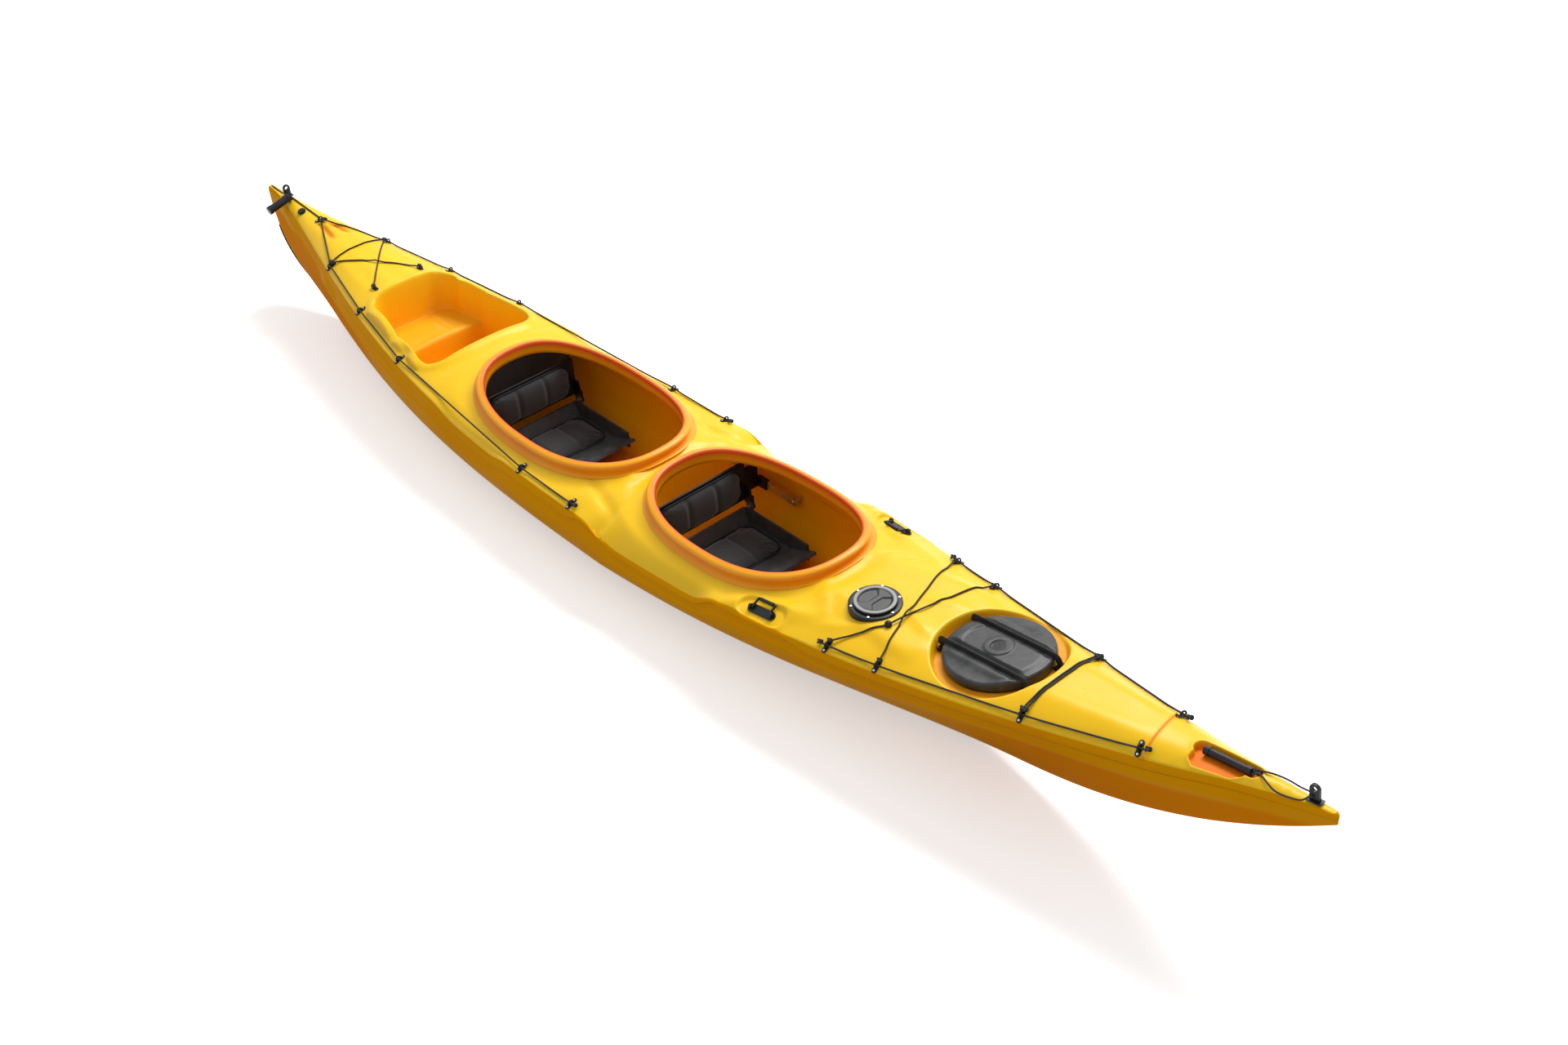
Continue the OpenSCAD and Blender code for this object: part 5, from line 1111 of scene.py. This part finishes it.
def stuffed_pad(name, long, wide, low, rise):
    """A crowned pad on its flat base: remeshed, blown up as cloth, then sewn down in two channels."""
    outline = pad_outline(long - PAD_INSET, wide - PAD_INSET)
    layers = [(0.02, 0.0), (0.5, 0.0), (0.93, 0.0), (1.0, 0.2*low), (1.0, 0.8*low), (0.96, low + 0.06*rise),
              (0.86, low + 0.34*rise), (0.65, low + 0.60*rise), (0.35, low + 0.72*rise),
              (0.02, low + 0.75*rise)]
    verts = np.vstack([np.column_stack((outline*s, np.full(len(outline), z))) for s, z in layers])
    n = len(outline)
    faces = [(j*n + k, j*n + (k + 1) % n, (j + 1)*n + (k + 1) % n, (j + 1)*n + k)
             for j in range(len(layers) - 1) for k in range(n)]
    faces += [tuple(range(n - 1, -1, -1)), tuple(range(len(verts) - n, len(verts)))]
    piece = mesh_piece(name, verts, faces, pad_cloth)
    voxels = piece.modifiers.new("even", "REMESH")
    voxels.mode = "VOXEL"
    voxels.voxel_size = PAD_VOXEL
    even = bpy.data.meshes.new_from_object(piece.evaluated_get(bpy.context.evaluated_depsgraph_get()))
    piece.modifiers.remove(voxels)
    piece.data = even
    before = points_of(even)
    held = piece.vertex_groups.new(name="held")
    held.add([int(k) for k in np.flatnonzero(before[:, 2] < 0.002)], 1.0, "REPLACE")
    after = before
    cover = piece.modifiers.new("cover", "CLOTH")
    cover.settings.quality = 5
    cover.settings.mass = 0.3
    cover.settings.use_pressure = True
    cover.settings.uniform_pressure_force = 4.0
    cover.settings.vertex_group_mass = "held"
    cover.settings.effector_weights.gravity = 0.0
    for frame_now in range(1, 21):
        scene.frame_set(frame_now)
    blown = bpy.data.meshes.new_from_object(piece.evaluated_get(bpy.context.evaluated_depsgraph_get()))
    after = points_of(blown)
    piece.modifiers.remove(cover)
    scene.frame_set(1)
    moved = after - before
    size = np.linalg.norm(moved, axis=1, keepdims=True)
    after = before + moved*np.minimum(1, PAD_SWELL/np.maximum(size, 1e-9))
    top = step(0.3*low, low, after[:, 2])
    for seam in (-wide/6, wide/6):
        after[:, 2] -= CHANNEL_DEEP*top*np.exp(-((after[:, 1] - seam)/CHANNEL_WIDE)**2)
    after[:, 2] = np.maximum(0.0, after[:, 2])
    return piece, after


def seated(points, kind, seat_x, base):
    """A pad's points in the boat's frame: flat on the pan, or upright on the backrest."""
    if kind == "seat":
        return points + (seat_x - PAN_BACK, 0, base + PAN_UP)
    return np.column_stack((points[:, 2] + seat_x - BACK_AFT, points[:, 1], base + BACK_UP - points[:, 0]))


def place_pad(piece, points, body, cad_node):
    """Sets a pad's points in the boat's frame, and joins it to its body."""
    piece.data = piece.data.copy()
    piece.data.vertices.foreach_set("co", points.ravel())
    piece.data.update()
    piece.data.materials.clear()
    piece.data.materials.append(pad_cloth)
    piece.data.shade_smooth()
    finer = piece.modifiers.new("finer", "SUBSURF")
    finer.levels = 1
    finer.render_levels = 1
    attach(piece, body)
    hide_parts(cad_node)


cord_nodes = route_tree("cord_along_a_route", False)
for kind, long, wide, low, rise in PADS:
    first, shape = stuffed_pad("front_" + kind + "_cushion", long, wide, low, rise)
    second = first.copy()
    second.name = "rear_" + kind + "_cushion"
    scene.collection.objects.link(second)
    welt = pad_outline(long - WELT_INSET, wide - WELT_INSET)
    welt = np.column_stack((welt, np.full(len(welt), 0.55*low)))
    welt = np.vstack((welt, welt[:1]))
    for piece, (end, seat_x, base, back) in zip((first, second), SEATS):
        body = "boat" if kind == "seat" else back
        place_pad(piece, seated(shape, kind, seat_x, base), body, end + "_" + kind + "_pad")
        edge = laid_piece(end + "_" + kind + "_welt", [seated(welt, kind, seat_x, base)], cord_nodes,
                          {"Diameter": WELT_D, "Finish": black_rubber})
        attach(edge, body)

# Foot braces: an extruded aluminium rail on two stand-off feet along each side of both cockpits, held by
# stainless screws, with a black moulded pedal that slides along it.
DRAW_LONG_MM, DRAW_LINE_MM = 125.0, 1.0
# Extruded aluminium: dull bright metal with fine lines along it, drawn at 1 mm so that they show.
aluminium, tree, shader = finish_of("extruded_aluminium")
place = add(tree, "ShaderNodeTexCoord").outputs["Object"]
drawn = add(tree, "ShaderNodeMapping", {"Vector": place, "Scale": (1000/DRAW_LONG_MM, 1000/DRAW_LINE_MM,
                                                                   1000/DRAW_LINE_MM)})
lines = add(tree, "ShaderNodeTexNoise", {"Vector": drawn.outputs[0], "Scale": 1.0, "Detail": 3.0})
dull = add(tree, "ShaderNodeMapRange", {"Value": lines.outputs["Fac"], "To Min": 0.28, "To Max": 0.50})
tint = add(tree, "ShaderNodeMix", {"Factor": lines.outputs["Fac"], "A": linear("#b4b6b8"),
                                   "B": linear("#d3d5d6")}, data_type="RGBA")
feed(shader, {"Base Color": tint.outputs["Result"], "Roughness": dull.outputs[0], "Metallic": 1.0})
for end in ("front", "rear"):
    dress(aluminium, end + "_rail_port", end + "_rail_stbd")
    dress(black_plastic, end + "_pedal_port", end + "_pedal_stbd")
dress(steel, "rail_screws")

# Deck eyes: black moulded nylon eyes along both gunwales, by the well and on the tail.
# Each is held down by two stainless screws, and carries the deck lines and the shock cords.
FORE_EYES = (2.145, 1.790, 1.300, 1.112)
WELL_EYE = (-1.699, 0.105)
EYE_INSET = 0.027
dress(black_plastic, "deck_eyes")
dress(steel, "deck_eye_screws")

# Deck lines: 6 mm black braided polyester, laced through the eyes along each gunwale fore and aft.
# Each end has a stopper knot against its eye.
LINE_D, LINE_LOW, LINE_HIGH, LINE_END = 0.006, 0.004, 0.0071, 0.026
LINE_FLAT, LINE_FALL, CORD_CLEAR = 0.012, 0.040, 0.62
LINE_KNOT, LINE_KNOT_UP = 0.0028, (0, 0, 0.004)
TAIL_STOP = (-2.261, 0.009)
BRAID_MM, BRAID_STRANDS = 7.0, 3
# Braided polyester: matt black, with two sets of crossing strands. The real plait repeats every 4 mm or so,
# drawn at 7 mm so that it shows.
braided_black, tree, shader = finish_of("braided_black_polyester")
far = add(tree, "ShaderNodeAttribute", attribute_name="along").outputs["Fac"]
turn_at = add(tree, "ShaderNodeAttribute", attribute_name="around").outputs["Fac"]
run = add(tree, "ShaderNodeMath", {0: far, 1: 2*math.pi*1000/BRAID_MM}, operation="MULTIPLY")
lay = add(tree, "ShaderNodeMath", {0: turn_at, 1: 2*math.pi*BRAID_STRANDS}, operation="MULTIPLY")
strands = []
for way in ("ADD", "SUBTRACT"):
    helix = add(tree, "ShaderNodeMath", {0: run.outputs[0], 1: lay.outputs[0]}, operation=way)
    strands.append(add(tree, "ShaderNodeMath", {0: helix.outputs[0]}, operation="SINE").outputs[0])
plait = add(tree, "ShaderNodeMath", {0: strands[0], 1: strands[1]}, operation="MAXIMUM")
plait = add(tree, "ShaderNodeMapRange", {"Value": plait.outputs[0], "From Min": -1.0})
tint = add(tree, "ShaderNodeMix", {"Factor": plait.outputs[0], "A": linear("#09090b"),
                                   "B": linear("#1f2024")}, data_type="RGBA")
relief = add(tree, "ShaderNodeBump", {"Height": plait.outputs[0], "Strength": 0.6, "Distance": 0.0007})
feed(shader, {"Base Color": tint.outputs["Result"], "Normal": relief.outputs[0], "Roughness": 0.70})


def eye_y(x):
    """How far out a deck eye stands on its gunwale."""
    return float(half_beam(np.array(x))) - EYE_INSET


def on_deck(x, y, lift):
    """A point over the plain deck, lifted along the deck's normal."""
    at = np.array((x, x - 0.005, x + 0.005, x, x)), np.array((y, y, y, y - 0.002, y + 0.002))
    z = deck_z(*at)
    normal = np.array((-(z[2] - z[1])/0.01, -(z[4] - z[3])/0.004, 1.0))
    return np.array((x, y, z[0])) + normal/np.linalg.norm(normal)*lift


def clear_of_deck(route, diameter):
    """Lifts the points of a route that would sink in the sculpted deck."""
    route = np.array(route)
    skin, _ = skin_z(route[:, 0], route[:, 1])
    route[:, 2] = np.maximum(route[:, 2], skin + CORD_CLEAR*diameter)
    return route


def stopper_knot(middle, size):
    """The route of an overhand knot, drawn up tight."""
    t = np.linspace(0, 2*math.pi, 49)
    form = np.column_stack((np.sin(t) + 2*np.sin(2*t), np.cos(t) - 2*np.cos(2*t), -1.1*np.sin(3*t)))
    return np.asarray(middle) + form*size


def line_route(stops):
    """Route of a deck line over its stops in plan: high through an eye and low between."""
    route = []
    for a, b in zip(stops, stops[1:]):
        a, b = np.array(a), np.array(b)
        long = np.linalg.norm(b - a)
        for t in np.linspace(0, 1, 7)[:-1]:
            near = max(0.0, 1 - max(0.0, min(t, 1 - t)*long - LINE_FLAT)/LINE_FALL)
            route.append(on_deck(*(a + (b - a)*t), LINE_LOW + (LINE_HIGH - LINE_LOW)*near))
    route.append(on_deck(*stops[-1], LINE_HIGH))
    return smooth_route(route, 0.012)


for name, side in (("port", 1), ("stbd", -1)):
    fore = [FORE_EYES[0] + LINE_END, *FORE_EYES, FORE_EYES[-1] - LINE_END]
    aft = [AFT_EYES[0] + LINE_END, *AFT_EYES]
    fore = line_route([(x, side*eye_y(x)) for x in fore])
    aft = line_route([(x, side*eye_y(x)) for x in aft] + [(TAIL_STOP[0], side*TAIL_STOP[1])])
    for end, route in (("fore", fore), ("aft", aft)):
        route = clear_of_deck(route, LINE_D)
        knots = [stopper_knot(route[k] + LINE_KNOT_UP, LINE_KNOT) for k in (0, -1)]
        line = laid_piece(end + "_line_" + name + "_braid", [route, *knots], cord_nodes,
                          {"Diameter": LINE_D, "Finish": braided_black})
        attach(line, "boat")
        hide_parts(end + "_line_" + name)

# Shock cords: 6 mm elastic cord in a black braided sleeve, knotted to the inner side of the eyes.
# Two cross between the deck plate and the hatch, one of them through a bead; others cross bow and stern.
BUNGEE_D, BUNGEE_LOW, EYE_INNER, EYE_OVER = 0.006, 0.004, 0.0135, 0.0059
BUNGEE_KNOT, BUNGEE_KNOT_UP = 0.0026, (0, 0, 0.003)
BEAD_AT, BEAD_LIFT = np.array((1.225, -0.130)), 0.009
OVER, CROSS_AT, HUMP_HALF, RISE_LONG = 0.007, 0.335, 0.12, 0.06
STERN_CORD, STERN_CORD_Y, STERN_CORD_UP = (-2.2965, -2.529), 0.005, 0.0034


def eye_stop(x, side):
    """Where a shock cord is knotted, on the inner side of a deck eye."""
    return np.array((x, side*(eye_y(x) - EYE_INNER)))


def bungee_route(a, b, count, jump=0.0, at=0.5, lift=(1, 1)):
    """Route of a shock cord from a to b in plan, with a hump where it passes over another."""
    route = []
    long = np.linalg.norm(b - a)
    for t in np.linspace(0, 1, count + 1):
        over = math.cos(math.pi/2*(t - at)/HUMP_HALF)**2 if abs(t - at) < HUMP_HALF else 0.0
        ends = lift[0]*max(0.0, 1 - t*long/RISE_LONG) + lift[1]*max(0.0, 1 - (1 - t)*long/RISE_LONG)
        route.append(on_deck(*(a + (b - a)*t), BUNGEE_LOW + jump*over + EYE_OVER*ends))
    return np.array(route)


first = bungee_route(eye_stop(FORE_EYES[3], -1), BEAD_AT, 6, lift=(1, 0))[:-1]
first[:, 2] += BEAD_LIFT*(np.arange(6)/6)**3
second = bungee_route(BEAD_AT, eye_stop(FORE_EYES[2], 1), 10, lift=(0, 1))
second[:, 2] += BEAD_LIFT*(1 - np.arange(11)/10)**3
nudge = np.array((0.7*BUNGEE_D, 0.0))
well_stop = np.array((WELL_EYE[0] - EYE_INNER, WELL_EYE[1]))
back = np.array((BUNGEE_D + 0.0015, 0.0))
bow_ends = [(eye_stop(FORE_EYES[1], -1) + s*nudge, eye_stop(FORE_EYES[1], 1) + s*nudge) for s in (-1, 1)]
quarter = [eye_stop(AFT_EYES[4], s) for s in (-1, 1)]
SHOCK_CORDS = {
    "fore_bungee_port": [np.vstack((first, second))],
    "fore_bungee_stbd": [bungee_route(eye_stop(FORE_EYES[2], -1), eye_stop(FORE_EYES[3], 1), 20, 2*OVER,
                                      CROSS_AT)],
    "bow_bungee": [bungee_route(a, b, 10) for a, b in bow_ends],
    "stern_bungee": [bungee_route(quarter[1], well_stop*(1, -1), 10),
                     bungee_route(quarter[0], well_stop, 20, 1.3*OVER),
                     bungee_route(quarter[0] - back, quarter[1] - back, 10)],
    "stern_cord": [np.array([on_deck(x, STERN_CORD_Y, STERN_CORD_UP) for x in np.linspace(*STERN_CORD, 9)])]}
for name, routes in SHOCK_CORDS.items():
    routes = [clear_of_deck(smooth_route(r, 0.010), BUNGEE_D) for r in routes]
    ends = [] if name == "stern_cord" else [r[k] for r in routes for k in (0, -1)]
    knots = [stopper_knot(at + BUNGEE_KNOT_UP, BUNGEE_KNOT) for at in ends]
    piece = laid_piece(name + "_braid", routes + knots, cord_nodes,
                       {"Diameter": BUNGEE_D, "Finish": braided_black})
    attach(piece, "boat")
    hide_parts(name)
dress(black_plastic, "bungee_bead")

# Stern slot strip: a strip of glossy black nylon, sprung into the groove between the stern's tip and its eye.
# It is pointed at both ends, and its crown stands just above the groove's floor.
STRIP_HALF, STRIP_T, STRIP_UP, STRIP_CROWN, STRIP_BACK = 0.0066, 0.0028, 0.0062, 0.0030, 0.004
STRIP_ROWS, STRIP_ACROSS = 19, 5
rows = []
across = np.linspace(-1, 1, STRIP_ACROSS)
for t in np.linspace(0, 1, STRIP_ROWS):
    wide = STRIP_HALF*max(0.06, math.sin(math.pi*t))**0.6
    x = np.full(STRIP_ACROSS, SLOT_REAR - STRIP_BACK + t*(SLOT_FRONT - SLOT_REAR))
    bed, _ = skin_z(x, np.zeros(STRIP_ACROSS))
    rows.append(list(zip(x, wide*across, bed + STRIP_UP - STRIP_CROWN*across**2)))
strip_points = [p for row in rows for p in row]
strip = mesh_piece("stern_slot_strip", strip_points, skin_grid(rows, False), black_plastic)
shell = strip.modifiers.new("wall", "SOLIDIFY")
shell.thickness = STRIP_T
shell.offset = -1
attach(strip, "boat")

# Bow and stern eyes: upright ring plates in black moulded nylon, bolted through the ends of the deck.
# A carrying handle hangs on each: a 5 mm braided cord and a moulded toggle grip.
CORD_D = 0.005
BOW_PIVOT = np.array((2.62637, 0.0, 0.569714))
BOW_EYE_X = 2.628
TOGGLE_AT, TOGGLE_HALF = np.array((2.3641, 0.0, 0.512301)), 0.075
STERN_PIVOT = np.array((-2.54382, 0.0, 0.498493))
STERN_LEAN = math.radians(14)
STERN_GRIP, STERN_GRIP_UP = (-2.503, -0.010), 0.021
BOW_KNOT, STERN_KNOT = 0.0042, 0.0020
dress(black_plastic, "bow_eye", "stern_eye", "bow_toggle", "stern_toggle")
slope = float(deck_z(np.array(2.368), np.array(0.0)) - deck_z(np.array(2.358), np.array(0.0)))/0.01
nose = TOGGLE_AT + TOGGLE_HALF*np.array((1, 0, slope))/math.hypot(1, slope)


def bow_leg(side):
    """One leg of the bow loop, from the eye back to the toggle's nose."""
    return [BOW_PIVOT + (-0.0004, side*0.0045, 0), BOW_PIVOT + (-0.0035, side*0.0092, -0.0006),
            BOW_PIVOT + (-0.011, side*0.0117, -0.0042), on_deck(BOW_EYE_X - 0.026, side*0.0145, 0.0085),
            on_deck(BOW_EYE_X - 0.060, side*0.0210, 0.0055), on_deck(BOW_EYE_X - 0.100, side*0.0240, 0.0055),
            on_deck(BOW_EYE_X - 0.135, side*0.0160, 0.0055), on_deck(2.471, side*0.0080, 0.0055),
            nose + (0.012, side*0.0040, 0.010), nose + (0.001, side*0.0032, 0.002)]


def free_cord(name, route, body, cad_node):
    """A handle's cord along its route."""
    route = smooth_route(route, 0.0015)
    piece = laid_piece(name, [route], cord_nodes, {"Diameter": CORD_D, "Finish": braided_black})
    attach(piece, body)
    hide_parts(cad_node)


bow_route = bow_leg(-1)[::-1] + [BOW_PIVOT] + bow_leg(1)
free_cord("bow_handle_loop", bow_route, "bow_handle", "bow_handle_cord")
grip_z = float(deck_z(np.array(STERN_GRIP[0]), np.array(STERN_GRIP[1]))) + STERN_GRIP_UP
stern_end = np.array((*STERN_GRIP, grip_z))
down = np.array((0.0, -math.cos(STERN_LEAN), -math.sin(STERN_LEAN)))
stern_route = [STERN_PIVOT + (-0.013, 0, 0), STERN_PIVOT + (-0.006, 0, 0), STERN_PIVOT + (0.006, 0, 0),
               STERN_PIVOT + (0.014, 0.001, 0), STERN_PIVOT + (0.024, 0.004, 0),
               stern_end + (-0.008, 0.013, 0.002), stern_end + (-0.002, 0.008, 0.001), stern_end + 0.003*down]
free_cord("stern_handle_tie", stern_route, "stern_handle", "stern_handle_cord")
for name, middle, size in (("stern_handle", STERN_PIVOT + (-0.013, 0, 0), STERN_KNOT),
                           ("bow_handle", nose + (0.013, 0, 0.009), BOW_KNOT)):
    knot = laid_piece(name + "_knot", [stopper_knot(middle, size)], cord_nodes,
                      {"Diameter": CORD_D, "Finish": braided_black})
    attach(knot, name)

# Skid plate, carrying handles and drain: a black wear strip round the stern post, a folding bail in a
# moulded base on each side of the front cockpit, and a screw plug in its seat on the stern deck.
dress(black_plastic, "stern_skid_plate", "side_handle_bases", "side_handle_port", "side_handle_stbd",
      "drain_seat", "drain_plug")
